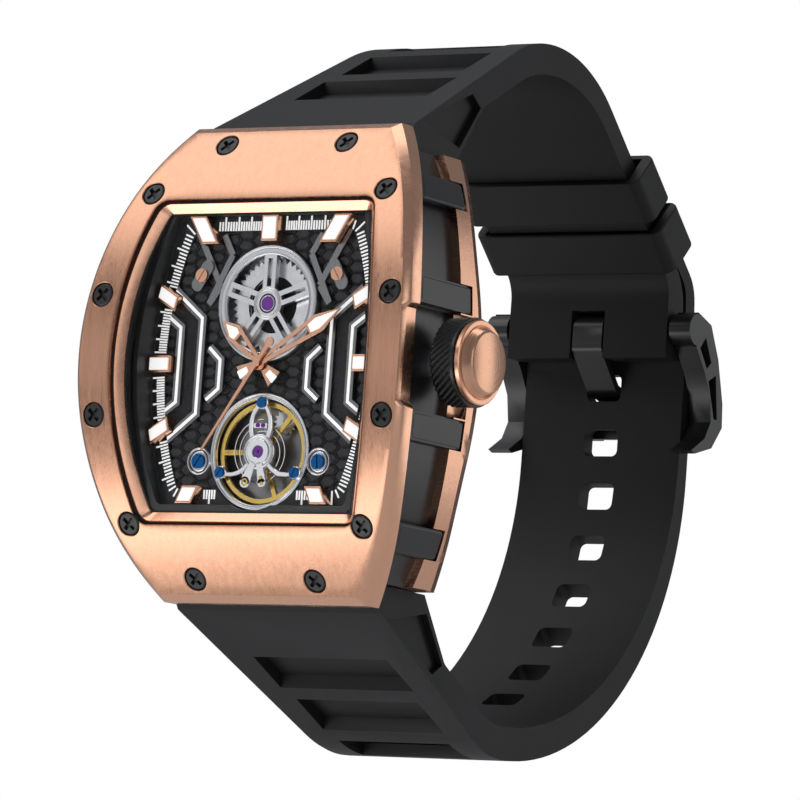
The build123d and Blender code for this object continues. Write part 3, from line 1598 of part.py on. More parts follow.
os.makedirs("parts", exist_ok=True)
for name, piece in pieces.items():
    piece.part.label = name
    export_step(piece.part, f"parts/{name}.step")
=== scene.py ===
"""Looks of a tonneau watch with a rose gold case on a black rubber strap.

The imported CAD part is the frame. Sizes are in millimetres, in the row frame: X points to the crown, Y away
from the viewer and Z to twelve o'clock. Heights are measured from the dial plane towards the viewer.
"""

from __future__ import annotations

import itertools
import json
import logging
import math
from collections.abc import Iterable, Sequence
from dataclasses import dataclass
from enum import Enum

import bmesh
import bpy
import numpy as np
from mathutils import Matrix, Vector
from mathutils.bvhtree import BVHTree

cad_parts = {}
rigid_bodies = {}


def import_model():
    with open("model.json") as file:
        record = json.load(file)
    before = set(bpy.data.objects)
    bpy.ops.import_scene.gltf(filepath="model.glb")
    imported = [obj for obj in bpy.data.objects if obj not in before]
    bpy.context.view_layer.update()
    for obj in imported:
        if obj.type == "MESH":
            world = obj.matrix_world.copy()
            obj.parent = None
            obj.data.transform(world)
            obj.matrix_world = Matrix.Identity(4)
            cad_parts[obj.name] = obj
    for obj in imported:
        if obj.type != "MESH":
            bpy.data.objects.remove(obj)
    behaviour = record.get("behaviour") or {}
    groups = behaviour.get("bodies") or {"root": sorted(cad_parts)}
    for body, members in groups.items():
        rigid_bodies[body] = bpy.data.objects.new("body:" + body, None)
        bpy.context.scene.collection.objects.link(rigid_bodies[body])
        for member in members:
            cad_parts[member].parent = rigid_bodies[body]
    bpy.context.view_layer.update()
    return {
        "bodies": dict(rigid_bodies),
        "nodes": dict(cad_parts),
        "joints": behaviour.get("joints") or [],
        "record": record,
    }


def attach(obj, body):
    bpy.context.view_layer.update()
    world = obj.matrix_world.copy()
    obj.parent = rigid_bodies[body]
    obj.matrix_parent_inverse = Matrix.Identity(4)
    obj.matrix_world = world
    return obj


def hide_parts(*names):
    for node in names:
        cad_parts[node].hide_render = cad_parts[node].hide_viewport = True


log = logging.getLogger("watch")
MM = 0.001
TURN = 2.0 * math.pi
DIAL_Y = -37.0

# Metres within which points are one, degrees from which an edge of a CAD node is sharp, and degrees below
# which it lies inside a flat face.
SAME_POINT = 1e-6
SHARP_EDGE = 35.0
FLAT_EDGE = 0.6

Colour = tuple[float, float, float]
Pair = tuple[float, float]
RingSize = tuple[float, float, float, float]

# Objects of the CAD nodes by name, filled in by main.
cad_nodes: dict[str, bpy.types.Object] = {}


@dataclass(frozen=True)
class Layout:
    """Axes over the dial, across and up, and the room round the barrel and the balance."""

    hands: Pair = (0.0, -0.47)
    barrel: Pair = (0.0, 5.85)
    balance: Pair = (0.0, -9.55)
    opening: float = 6.2


# Node graphs


class Wire:
    """One socket of a node graph, with the usual arithmetic."""

    def __init__(self, graph: Graph, socket: bpy.types.NodeSocket) -> None:
        """Keep the graph beside the socket."""
        self.graph = graph
        self.socket = socket

    def __add__(self, other: Wire | float) -> Wire:
        """Sum of two values."""
        return self.graph.maths("ADD", self, other)

    __radd__ = __add__

    def __sub__(self, other: Wire | float) -> Wire:
        """Difference of two values."""
        return self.graph.maths("SUBTRACT", self, other)

    def __rsub__(self, other: Wire | float) -> Wire:
        """Difference with this value taken away."""
        return self.graph.maths("SUBTRACT", other, self)

    def __mul__(self, other: Wire | float) -> Wire:
        """Product of two values."""
        return self.graph.maths("MULTIPLY", self, other)

    __rmul__ = __mul__

    def __truediv__(self, other: Wire | float) -> Wire:
        """Quotient of two values."""
        return self.graph.maths("DIVIDE", self, other)

    def __pow__(self, other: Wire | float) -> Wire:
        """Power of a value."""
        return self.graph.maths("POWER", self, other)


Value = Wire | float | int | str | tuple[float, ...] | None


class Graph:
    """A shader or geometry node tree under construction."""

    def __init__(self, tree: bpy.types.NodeTree) -> None:
        """Start from a tree."""
        self.tree = tree

    def add(
        self,
        kind: str,
        settings: dict[str, object] | None = None,
        inputs: dict[str | int, object] | None = None,
    ) -> bpy.types.Node:
        """Add a node.

        Args:
            kind: type name of the node.
            settings: properties, set before the inputs.
            inputs: values or wires by socket name or place.

        Returns:
            The node.
        """
        node = self.tree.nodes.new(kind)
        for name, value in (settings or {}).items():
            setattr(node, name, value)
        for key, value in (inputs or {}).items():
            self.feed(node.inputs[key], value)
        return node

    def feed(self, socket: bpy.types.NodeSocket, value: object) -> None:
        """Link or set an input.

        Args:
            socket: the input.
            value: a wire to link, a constant to set, or None to leave it alone.
        """
        if isinstance(value, Wire):
            self.tree.links.new(value.socket, socket)
        elif value is not None:
            socket.default_value = value

    def wire(self, node: bpy.types.Node, output: str | int = 0) -> Wire:
        """Output of a node as a wire."""
        return Wire(self, node.outputs[output])

    def maths(self, operation: str, first: Value, second: Value = None, third: Value = None) -> Wire:
        """Result of one maths node."""
        values = {place: value for place, value in enumerate((first, second, third)) if value is not None}
        return self.wire(self.add("ShaderNodeMath", {"operation": operation}, values))

    def vector(self, operation: str, first: Value, second: Value) -> Wire:
        """Result of one vector maths node."""
        return self.wire(self.add("ShaderNodeVectorMath", {"operation": operation}, {0: first, 1: second}))

    def combine(self, x: Value, y: Value, z: Value) -> Wire:
        """Vector of three values."""
        return self.wire(self.add("ShaderNodeCombineXYZ", None, {0: x, 1: y, 2: z}))

    def separate(self, value: Wire) -> tuple[Wire, Wire, Wire]:
        """Three values of a vector."""
        node = self.add("ShaderNodeSeparateXYZ", None, {0: value})
        return self.wire(node, 0), self.wire(node, 1), self.wire(node, 2)


class ShaderGraph(Graph):
    """The node tree of one material."""

    def place(self) -> Wire:
        """Object coordinates in millimetres."""
        return self.vector("MULTIPLY", self.wire(self.add("ShaderNodeTexCoord"), "Object"), (1 / MM,) * 3)

    def noise(self, place: Wire, scale: Sequence[float], detail: float = 2.0, rough: float = 0.5) -> Wire:
        """Noise from 0 to 1 over a place.

        Args:
            place: coordinates.
            scale: cells per millimetre along each axis.
            detail: octaves.
            rough: weight of the finer octaves.

        Returns:
            The value.
        """
        stretched = self.vector("MULTIPLY", place, tuple(scale))
        inputs = {"Vector": stretched, "Scale": 1.0, "Detail": detail, "Roughness": rough}
        return self.wire(self.add("ShaderNodeTexNoise", None, inputs), 0)

    def spread(self, value: Wire, low: float, high: float) -> Wire:
        """Value stretched so that low becomes 0 and high becomes 1, and clamped."""
        inputs = {0: value, 1: low, 2: high}
        return self.wire(self.add("ShaderNodeMapRange", {"clamp": True}, inputs))

    def blend(self, factor: Value, first: object, second: object) -> Wire:
        """Mix of two colours.

        Args:
            factor: share of the second.
            first: colour, or a wire of one.
            second: colour, or a wire of one.

        Returns:
            The mixed colour.
        """
        colours = [value if isinstance(value, Wire) else (*value, 1.0) for value in (first, second)]
        node = self.add("ShaderNodeMix", {"data_type": "RGBA"}, {0: factor, 6: colours[0], 7: colours[1]})
        return self.wire(node, 2)

    def bump(self, height: Wire, distance: float, strength: float = 1.0) -> Wire:
        """Normal from a height, its distance in millimetres."""
        inputs = {"Height": height, "Distance": distance * MM, "Strength": strength}
        return self.wire(self.add("ShaderNodeBump", None, inputs), 0)

    def camera_sees(self) -> Wire:
        """One where the camera looks, and zero for light that bounces."""
        return self.wire(self.add("ShaderNodeLightPath"), "Is Camera Ray")


# Finishes


class Grain(Enum):
    """Direction of the brushing on a metal, as cells per millimetre along X, Y and Z."""

    UPRIGHT = (9.0, 9.0, 0.35)
    ACROSS = (0.35, 9.0, 9.0)
    FINE = (1.1, 1.1, 1.1)


@dataclass(frozen=True)
class Finish:
    """A finish shared by pieces: its base colour, and how even and how smooth it is."""

    name: str
    slot: str
    colour: Colour
    roughness: float = 0.4
    metal: float = 0.0
    # painted_glow is the emission strength: a painted glow on parts that are no lamps, and the pale floor's
    # glow for the camera.
    painted_glow: float = 0.0
    gloss: float = 0.5

    def shade(self, share: float) -> Colour:
        """Colour times a share."""
        return tuple(share * value for value in self.colour)

    def uneven(self, value: Wire, width: float) -> Wire:
        """Roughness that varies over a width with a value, about the finish's own."""
        return value * width + (self.roughness - width / 2)

    def paint(self, graph: ShaderGraph, place: Wire) -> dict[str, object]:
        """Slow changes of tone and roughness.

        Args:
            graph: node tree of the material.
            place: object coordinates in millimetres.

        Returns:
            Inputs of the surface shader.
        """
        worn = graph.noise(place, (0.8, 0.8, 0.8))
        tone = graph.blend(worn, self.shade(0.9), self.colour)
        # The tone is also the colour of the painted glow, where a finish has one.
        return {"Base Color": tone, "Emission Color": tone, "Roughness": self.uneven(worn, 0.08)}

    def material(self) -> bpy.types.Material:
        """Make the material once.

        Returns:
            The material, the same one each time.
        """
        name = f"look_{self.name}"
        made = bpy.data.materials.get(name)
        if made is not None:
            return made
        made = bpy.data.materials.new(name)
        made.use_nodes = True
        graph = ShaderGraph(made.node_tree)
        surface = made.node_tree.nodes["Principled BSDF"]
        surface.inputs["Metallic"].default_value = self.metal
        surface.inputs["Emission Strength"].default_value = self.painted_glow
        surface.inputs["Specular IOR Level"].default_value = self.gloss
        for key, value in self.paint(graph, graph.place()).items():
            graph.feed(surface.inputs[key], value)
        return made


@dataclass(frozen=True)
class Brushed(Finish):
    """Metal brushed along one direction."""

    grain: Grain = Grain.UPRIGHT
    contrast: float = 0.2
    depth: float = 0.004
    metal: float = 1.0

    def paint(self, graph: ShaderGraph, place: Wire) -> dict[str, object]:
        """Streaks in colour, roughness and height.

        Args:
            graph: node tree of the material.
            place: object coordinates in millimetres.

        Returns:
            Inputs of the surface shader.
        """
        streaks = graph.noise(place, self.grain.value, 3.0, 0.6)
        broad = graph.noise(place, tuple(0.2 * value for value in self.grain.value), 1.0)
        tone = graph.spread(streaks * 0.7 + broad * 0.3, 0.3, 0.7)
        return {
            "Base Color": graph.blend(tone, self.shade(1 - self.contrast), self.colour),
            "Roughness": self.uneven(tone, 0.14),
            "Normal": graph.bump(streaks, self.depth),
        }


@dataclass(frozen=True)
class Turned(Finish):
    """Metal turned in rings about the crown's axis."""

    centre: Pair = (0.0, 0.0)
    metal: float = 1.0

    def paint(self, graph: ShaderGraph, place: Wire) -> dict[str, object]:
        """Fine rings round the axis along X.

        Args:
            graph: node tree of the material.
            place: object coordinates in millimetres.

        Returns:
            Inputs of the surface shader.
        """
        across, depth, up = graph.separate(place)
        from_axis = graph.maths("SQRT", (depth - self.centre[0]) ** 2.0 + (up - self.centre[1]) ** 2.0)
        rings = graph.noise(graph.combine(across * 0.3, from_axis, 0.0), (1.0, 14.0, 1.0), 2.0)
        return {
            "Base Color": graph.blend(graph.spread(rings, 0.35, 0.65), self.shade(0.82), self.colour),
            "Roughness": self.uneven(rings, 0.2),
            "Normal": graph.bump(rings, 0.006),
        }


@dataclass(frozen=True)
class Grained(Finish):
    """Matt or satin surface with a fine even grain."""

    grain: float = 9.0
    depth: float = 0.008

    def paint(self, graph: ShaderGraph, place: Wire) -> dict[str, object]:
        """Fine grain over slow changes of tone.

        Args:
            graph: node tree of the material.
            place: object coordinates in millimetres.

        Returns:
            Inputs of the surface shader.
        """
        fine = graph.noise(place, (self.grain,) * 3, 3.0, 0.6)
        slow = graph.noise(place, (0.12,) * 3, 2.0)
        paler = tuple(min(1.0, 1.25 * value + 0.003) for value in self.colour)
        return {
            "Base Color": graph.blend(graph.spread(fine * 0.6 + slow * 0.4, 0.3, 0.7), self.colour, paler),
            "Roughness": self.uneven(slow, 0.12),
            "Normal": graph.bump(fine, self.depth),
        }


@dataclass(frozen=True)
class Clear(Finish):
    """Clear glass, seen through, with a weak tint towards its edges."""

    alpha: float = 0.015

    def paint(self, graph: ShaderGraph, place: Wire) -> dict[str, object]:
        """Mostly see-through, and a little less so at a glancing angle.

        Args:
            graph: node tree of the material.
            place: object coordinates in millimetres.

        Returns:
            Inputs of the surface shader.
        """
        glance = graph.wire(graph.add("ShaderNodeLayerWeight", None, {"Blend": 0.25}), "Facing")
        even = graph.noise(place, (0.1,) * 3)
        return {
            "Base Color": graph.blend(even, self.colour, self.shade(1.1)),
            "Roughness": even * 0.02 + self.roughness,
            "Alpha": glance * 0.06 + self.alpha,
        }


@dataclass(frozen=True)
class Backdrop(Finish):
    """Floor that the camera sees as pale, and that lights the watch by its colour alone."""

    seen_colour: Colour = (0.28, 0.28, 0.28)

    def paint(self, graph: ShaderGraph, place: Wire) -> dict[str, object]:
        """Another colour and a glow for the camera.

        Args:
            graph: node tree of the material.
            place: object coordinates in millimetres.

        Returns:
            Inputs of the surface shader.
        """
        inputs = super().paint(graph, place)
        seen = graph.camera_sees()
        inputs["Emission Color"] = graph.blend(seen, (0.0, 0.0, 0.0), (1.0, 1.0, 1.0))
        inputs["Base Color"] = graph.blend(seen, self.colour, self.seen_colour)
        return inputs


class Look(Enum):
    """Every finish of the watch."""

    BEZEL = Brushed("rose_brushed", "rose_gold", (0.80, 0.43, 0.28), 0.32, contrast=0.32)
    BACK = Brushed("rose_back", "rose_gold", (0.82, 0.45, 0.30), 0.24, grain=Grain.ACROSS, contrast=0.12)
    ROSE_BRIGHT = Brushed(
        "rose_bright", "rose_gold", (0.86, 0.48, 0.32), 0.24, grain=Grain.FINE, contrast=0.06
    )
    CROWN = Turned("rose_turned", "rose_gold", (0.83, 0.46, 0.30), 0.26, centre=(DIAL_Y + 3.2, 0.0))
    BLACK = Grained("black_satin", "black_metal", (0.009, 0.009, 0.0095), 0.3, grain=6.0, depth=0.002)
    SCREW = Grained("black_screw", "black_metal", (0.018, 0.018, 0.019), 0.42, grain=7.0, depth=0.006)
    RUBBER = Grained(
        "black_rubber", "black_rubber", (0.006, 0.006, 0.0065), 0.55, grain=10.0, depth=0.006, gloss=0.3
    )
    # Dark finish of the real gaskets, and of the dark rings that paint shade into grooves and recesses of the
    # bezel and the works.
    SEAL_AND_SHADE = Grained("dark_seal_and_painted_shade", "black_rubber", (0.008, 0.008, 0.008), 0.7, grain=8.0)
    DIAL = Grained("dial_black", "dial_black", (0.007, 0.007, 0.008), 0.42, grain=9.0, depth=0.006)
    TILE = Grained("dial_tile", "dial_black", (0.022, 0.022, 0.023), 0.3, grain=9.0, depth=0.004)
    FLANGE = Grained("flange_black", "dial_black", (0.016, 0.017, 0.018), 0.4, grain=7.0, depth=0.003)
    BAND = Grained("dial_band", "dial_black", (0.010, 0.010, 0.011), 0.5, grain=3.2, depth=0.12)
    FRAME = Brushed("frame_grey", "brushed_steel", (0.3, 0.3, 0.31), 0.3, contrast=0.3)
    STRUT = Brushed("strut_grey", "brushed_steel", (0.34, 0.34, 0.35), 0.3, contrast=0.25)
    STEEL = Brushed(
        "inner_steel", "brushed_steel", (0.36, 0.36, 0.37), 0.34, grain=Grain.ACROSS, contrast=0.15
    )
    SILVER = Brushed(
        "silver_satin", "polished_steel", (0.92, 0.92, 0.94), 0.3, grain=Grain.FINE, contrast=0.08
    )
    CHROME = Brushed("chrome", "polished_steel", (0.9, 0.91, 0.93), 0.17, grain=Grain.FINE, contrast=0.06)
    GOLD = Brushed("gold", "gold", (0.92, 0.64, 0.18), 0.26, grain=Grain.FINE, contrast=0.1)
    BLUE = Brushed("blue_steel", "blue_steel", (0.02, 0.16, 0.45), 0.3, grain=Grain.ACROSS, contrast=0.3)
    # The lume, the minute ticks and the frame inlays carry a painted glow so that they read white.
    LUME = Finish("white_lume", "white_lume", (0.95, 0.95, 0.93), 0.6, painted_glow=0.62)
    # The jewels carry a faint painted glow.
    RUBY = Finish("ruby", "ruby", (0.16, 0.02, 0.30), 0.12, painted_glow=0.15)
    GLASS = Clear("sapphire", "sapphire", (0.02, 0.022, 0.025), 0.02)


# Meshes


class Shape:
    """A mesh under construction, in millimetres of the row frame."""

    def __init__(self) -> None:
        """Start empty."""
        self.points: list[Sequence[float]] = []
        self.faces: list[Sequence[int]] = []

    def grid(self, rows: np.ndarray, wrap_rows: bool = False) -> None:
        """Add a net of quads whose last column meets the first.

        Args:
            rows: points by row and column.
            wrap_rows: whether the last row meets the first too.
        """
        tall, wide = rows.shape[:2]
        start = len(self.points)
        self.points.extend(rows.reshape(-1, 3).tolist())
        for i in range(tall if wrap_rows else tall - 1):
            for j in range(wide):
                corners = ((i, j), (i, j + 1), (i + 1, j + 1), (i + 1, j))
                self.faces.append([start + (a % tall) * wide + b % wide for a, b in corners])

    def closed(self, rows: np.ndarray) -> None:
        """Add a net with a face over its first row and its last.

        Args:
            rows: points by row and column.
        """
        self.grid(rows)
        for loop in (rows[0], rows[-1]):
            start = len(self.points)
            self.points.extend(loop.tolist())
            self.faces.append(range(start, start + len(loop)))

    def turned(self, centre: Sequence[float], profile: Sequence[Sequence[float]], steps: int = 96) -> None:
        """Add a ring about an axis out of the dial.

        Args:
            centre: place of the axis over the dial.
            profile: radius and height of the points round the ring's section.
            steps: points round the axis.
        """
        turn = np.linspace(0, TURN, steps, endpoint=False)
        round_it = np.c_[np.cos(turn), np.zeros(steps), np.sin(turn)]
        middle = np.array((centre[0], DIAL_Y, centre[1]))
        self.grid(np.array([middle + r * round_it - (0, h, 0) for r, h in profile]), wrap_rows=True)

    def disc(self, centre: Sequence[float], profile: Sequence[Sequence[float]], steps: int = 64) -> None:
        """Add a turned knob.

        Args:
            centre: place of the axis over the dial.
            profile: radius and height of the points from its foot to its top.
            steps: points round the axis.
        """
        start = len(self.points)
        self.turned(centre, profile, steps)
        del self.faces[-steps:]
        self.faces.append(range(start, start + steps))
        self.faces.append(range(start + (len(profile) - 1) * steps, start + len(profile) * steps))

    def strip(
        self,
        path: np.ndarray,
        width: float | Sequence[float],
        low: float,
        high: float,
        edge: float,
    ) -> None:
        """Add a bar along a path over the dial, with its upper edges cut off.

        Args:
            path: points over the dial.
            width: its width, or the one at each point.
            low: height of its foot.
            high: height of its top.
            edge: reach of the cut at its upper edges.
        """
        along = np.gradient(path, axis=0)
        along /= np.linalg.norm(along, axis=1, keepdims=True)
        side = np.c_[-along[:, 1], along[:, 0]]
        half = np.broadcast_to(np.asarray(width, dtype=float) / 2, len(path))[:, None]
        section = [(-1, 0, low), (1, 0, low), (1, 0, high - edge), (1, -edge, high)]
        section += [(-1, edge, high), (-1, 0, high - edge)]
        columns = []
        for way, shift, height in section:
            flat = path + side * (way * half + shift)
            columns.append(np.c_[flat[:, 0], np.full(len(path), DIAL_Y - height), flat[:, 1]])
        self.closed(np.stack(columns, axis=1))

    def made(self, name: str, sharp: float = 30.0) -> bpy.types.Object:
        """Make the object, closed and facing outwards.

        Args:
            name: name of the object.
            sharp: angle in degrees from which an edge is sharp.

        Returns:
            The object, in metres.
        """
        mesh = bpy.data.meshes.new(name)
        points = [Vector(point) * MM for point in self.points]
        mesh.from_pydata(points, [], [list(face) for face in self.faces])
        return smoothed(linked(name, mesh), sharp)


def ring_section(inner: float, outer: float, low: float, high: float, *edge: float) -> list[Pair]:
    """Section of a ring with its upper edges cut off.

    Args:
        inner: radius of its hole.
        outer: its radius.
        low: height of its foot.
        high: height of its top.
        edge: reach of the cut across and down, or one value for both.

    Returns:
        Radius and height of each point.
    """
    across, down = edge[0], edge[-1]
    foot = [(inner, low), (outer, low), (outer, high - down)]
    return foot + [(outer - across, high), (inner + across, high), (inner, high - down)]


def disc_section(radius: float, low: float, high: float, *edge: float) -> list[Pair]:
    """Section of a disc with its upper edge cut off, like that of a ring."""
    return [(radius, low), (radius, high - edge[-1]), (radius - edge[0], high)]


def soft_section(inner: float, outer: float, low: float, high: float) -> list[Pair]:
    """Section of a ring with its upper edges rounded in two steps.

    Args:
        inner: radius of its hole.
        outer: its radius.
        low: height of its foot.
        high: height of its top.

    Returns:
        Radius and height of each point.
    """
    edge = min(0.3 * (outer - inner), 0.12)
    soft = 0.35 * edge
    section = [(inner, low), (outer, low), (outer, high - edge), (outer - soft, high - soft)]
    section += [(outer - edge, high), (inner + edge, high)]
    return section + [(inner + soft, high - soft), (inner, high - edge)]


def arc(centre: Sequence[float], radius: float, start: float, end: float, steps: int) -> np.ndarray:
    """Points of a circular arc."""
    turn = np.linspace(start, end, steps)
    return np.c_[centre[0] + radius * np.cos(turn), centre[1] + radius * np.sin(turn)]


def linked(name: str, mesh: bpy.types.Mesh) -> bpy.types.Object:
    """Put a mesh in the scene.

    Args:
        name: name of the object.
        mesh: the mesh.

    Returns:
        Its object.
    """
    made = bpy.data.objects.new(name, mesh)
    bpy.context.scene.collection.objects.link(made)
    return made


def smoothed(thing: bpy.types.Object, sharp: float = 30.0, flat: float = 0.0) -> bpy.types.Object:
    """Merge doubled points, face the mesh outwards and shade it smooth between sharp edges.

    Args:
        thing: the object.
        sharp: angle in degrees from which an edge is sharp.
        flat: angle in degrees below which an edge inside a face goes, or zero to keep them.

    Returns:
        The same object.
    """
    net = bmesh.new()
    net.from_mesh(thing.data)
    bmesh.ops.remove_doubles(net, verts=net.verts, dist=SAME_POINT)
    if flat:
        bmesh.ops.dissolve_limit(net, angle_limit=math.radians(flat), verts=net.verts, edges=net.edges)
    bmesh.ops.recalc_face_normals(net, faces=net.faces)
    net.to_mesh(thing.data)
    net.free()
    thing.data.polygons.foreach_set("use_smooth", [True] * len(thing.data.polygons))
    thing.data.set_sharp_from_angle(angle=math.radians(sharp))
    return thing


def bevelled(thing: bpy.types.Object, width: float, segments: int, sharp: float) -> bpy.types.Object:
    """Round an object's edges by a modifier.

    Args:
        thing: the object.
        width: reach of the rounding in millimetres.
        segments: steps across the rounding.
        sharp: angle in degrees from which an edge is rounded.

    Returns:
        The same object.
    """
    bevel = thing.modifiers.new("bevel", "BEVEL")
    bevel.width = width * MM
    bevel.segments = segments
    bevel.limit_method = "ANGLE"
    bevel.angle_limit = math.radians(sharp)
    bevel.use_clamp_overlap = True
    bevel.harden_normals = True
    return thing


def copied(node: str, name: str) -> bpy.types.Object:
    """Copy a CAD node, merged and without the edges inside its flat faces.

    Args:
        node: name of the node.
        name: name of the copy.

    Returns:
        The copy, without a finish.
    """
    made = linked(name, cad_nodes[node].data.copy())
    made.data.materials.clear()
    return smoothed(made, SHARP_EDGE, FLAT_EDGE)


def rounded(node: str, width: float, name: str, segments: int = 2) -> bpy.types.Object:
    """Copy of a CAD node with its edges rounded over a width in millimetres."""
    return bevelled(copied(node, name), width, segments, SHARP_EDGE)


def baked(thing: bpy.types.Object, name: str) -> bpy.types.Object:
    """Work an object's modifiers into a plain one.

    Args:
        thing: the object, which goes.
        name: name of the plain one.

    Returns:
        The plain object.
    """
    bpy.context.view_layer.update()
    graph = bpy.context.evaluated_depsgraph_get()
    mesh = bpy.data.meshes.new_from_object(thing.evaluated_get(graph))
    mesh.name = name
    bpy.data.objects.remove(thing)
    return linked(name, mesh)


def cut(thing: bpy.types.Object, cutters: Iterable[Shape], name: str) -> bpy.types.Object:
    """Cut shapes out of an object.

    Args:
        thing: object to cut, which goes.
        cutters: closed shapes.
        name: name of the result.

    Returns:
        The cut object.
    """
    others = [cutter.made("cutter") for cutter in cutters]
    for other in others:
        step = thing.modifiers.new("cut", "BOOLEAN")
        step.operation = "DIFFERENCE"
        step.solver = "EXACT"
        step.object = other
    made = baked(thing, name)
    for other in others:
        bpy.data.objects.remove(other)
    return smoothed(made)


class Pattern(Graph):
    """A Geometry Nodes tree with named inputs, worked into a plain mesh."""

    def __init__(
        self, name: str, lengths: dict[str, float], plain: dict[str, float | int] | None = None
    ) -> None:
        """Start the tree with one input for each value.

        Args:
            name: name of the tree.
            lengths: inputs in millimetres.
            plain: counts and angles.
        """
        super().__init__(bpy.data.node_groups.new(name, "GeometryNodeTree"))
        self.values = {key: value * MM for key, value in lengths.items()} | (plain or {})
        face = self.tree.interface
        face.new_socket("Points", in_out="INPUT", socket_type="NodeSocketGeometry")
        face.new_socket("Pieces", in_out="OUTPUT", socket_type="NodeSocketGeometry")
        for key, value in self.values.items():
            kind = "NodeSocketInt" if isinstance(value, int) else "NodeSocketFloat"
            face.new_socket(key, in_out="INPUT", socket_type=kind)
        self.start = self.add("NodeGroupInput")

    def given(self) -> list[Wire]:
        """Inputs of the tree, in their order."""
        return [self.wire(self.start, name) for name in self.values]

    def position(self) -> tuple[Wire, Wire, Wire]:
        """Coordinates of a point."""
        return self.separate(self.wire(self.add("GeometryNodeInputPosition")))

    def moved(self, thing: Wire, place: Wire) -> Wire:
        """Geometry with its points at other places."""
        return self.wire(self.add("GeometryNodeSetPosition", None, {"Geometry": thing, "Position": place}))

    def cylinder(self, corners: int, rows: int, radius: Value, depth: Value) -> Wire:
        """Closed cylinder about the middle."""
        inputs = {"Vertices": corners, "Side Segments": rows, "Radius": radius, "Depth": depth}
        return self.wire(self.add("GeometryNodeMeshCylinder", {"fill_type": "NGON"}, inputs))

    def block(self, x: Value, y: Value, z: Value) -> Wire:
        """Block about the middle."""
        return self.wire(self.add("GeometryNodeMeshCube", None, {"Size": self.combine(x, y, z)}))

    def less(self, thing: Wire, other: Wire) -> Wire:
        """Cut one geometry out of another.

        Args:
            thing: what is cut.
            other: what is taken away.

        Returns:
            What is left.
        """
        settings = {"operation": "DIFFERENCE", "solver": "EXACT"}
        inputs = {"Mesh 1": thing, "Mesh 2": other, "Self Intersection": True}
        return self.wire(self.add("GeometryNodeMeshBoolean", settings, inputs))

    def copies(self, points: Wire, piece: Wire, turn: Wire, size: Value = None) -> Wire:
        """Stand copies of a piece on points and make them real.

        Args:
            points: the points.
            piece: what stands on each.
            turn: turn of each copy.
            size: size of each copy.

        Returns:
            The copies.
        """
        inputs = {"Points": points, "Instance": piece, "Rotation": turn, "Scale": size}
        stood = self.wire(self.add("GeometryNodeInstanceOnPoints", None, inputs))
        return self.wire(self.add("GeometryNodeRealizeInstances", None, {0: stood}))

    def stand(self, piece: Wire) -> Wire:
        """Stand copies of a piece, turned and sized as the given points say.

        Args:
            piece: what stands on each point.

        Returns:
            The copies.
        """
        carried = []
        for key in ("turn", "size"):
            node = self.add("GeometryNodeInputNamedAttribute", {"data_type": "FLOAT_VECTOR"}, {"Name": key})
            carried.append(self.wire(node))
        return self.copies(self.wire(self.start, "Points"), piece, *carried)

    def worked(self, pieces: Wire, points: bpy.types.Mesh, look: Look, name: str) -> bpy.types.Object:
        """Finish the tree and work it into an object, closed and facing outwards.

        Args:
            pieces: what the tree makes.
            points: points that the tree starts from.
            look: finish of the pieces.
            name: name of the object.

        Returns:
            The plain object.
        """
        real = self.wire(self.add("GeometryNodeRealizeInstances", None, {0: pieces}))
        inputs = {"Geometry": real, "Material": look.value.material()}
        self.add("NodeGroupOutput", None, {0: self.wire(self.add("GeometryNodeSetMaterial", None, inputs))})
        thing = linked(name, points)
        step = thing.modifiers.new(name, "NODES")
        step.node_group = self.tree
        for item in self.tree.interface.items_tree:
            if item.name in self.values:
                step[item.identifier] = self.values[item.name]
        return smoothed(baked(thing, name))


def marks(frames: Sequence[Matrix], sizes: Sequence[Sequence[float]] | None = None) -> bpy.types.Mesh:
    """Make loose points that carry the turn and the size of what stands on them.

    Args:
        frames: place in millimetres and turn of each.
        sizes: sizes along each one's axes, or None to keep the piece's own.

    Returns:
        The points.
    """
    mesh = bpy.data.meshes.new("marks")
    mesh.from_pydata([frame.translation * MM for frame in frames], [], [])
    turns = [tuple(frame.to_euler()) for frame in frames]
    for key, rows in (("turn", turns), ("size", sizes or [(1.0, 1.0, 1.0)] * len(frames))):
        mesh.attributes.new(key, "FLOAT_VECTOR", "POINT").data.foreach_set("vector", np.ravel(rows))
    return mesh


def facing(across: float, up: float, height: float, turn: float = 0.0) -> Matrix:
    """Make a frame over the dial, its Z towards the viewer.

    Args:
        across: place towards the crown.
        up: place towards twelve o'clock.
        height: height over the dial.
        turn: turn of its X from the crown's side.

    Returns:
        The frame, in millimetres.
    """
    frame = Matrix(((1, 0, 0), (0, 0, -1), (0, 1, 0))).to_4x4() @ Matrix.Rotation(turn, 4, "Z")
    frame.translation = (across, DIAL_Y - height, up)
    return frame


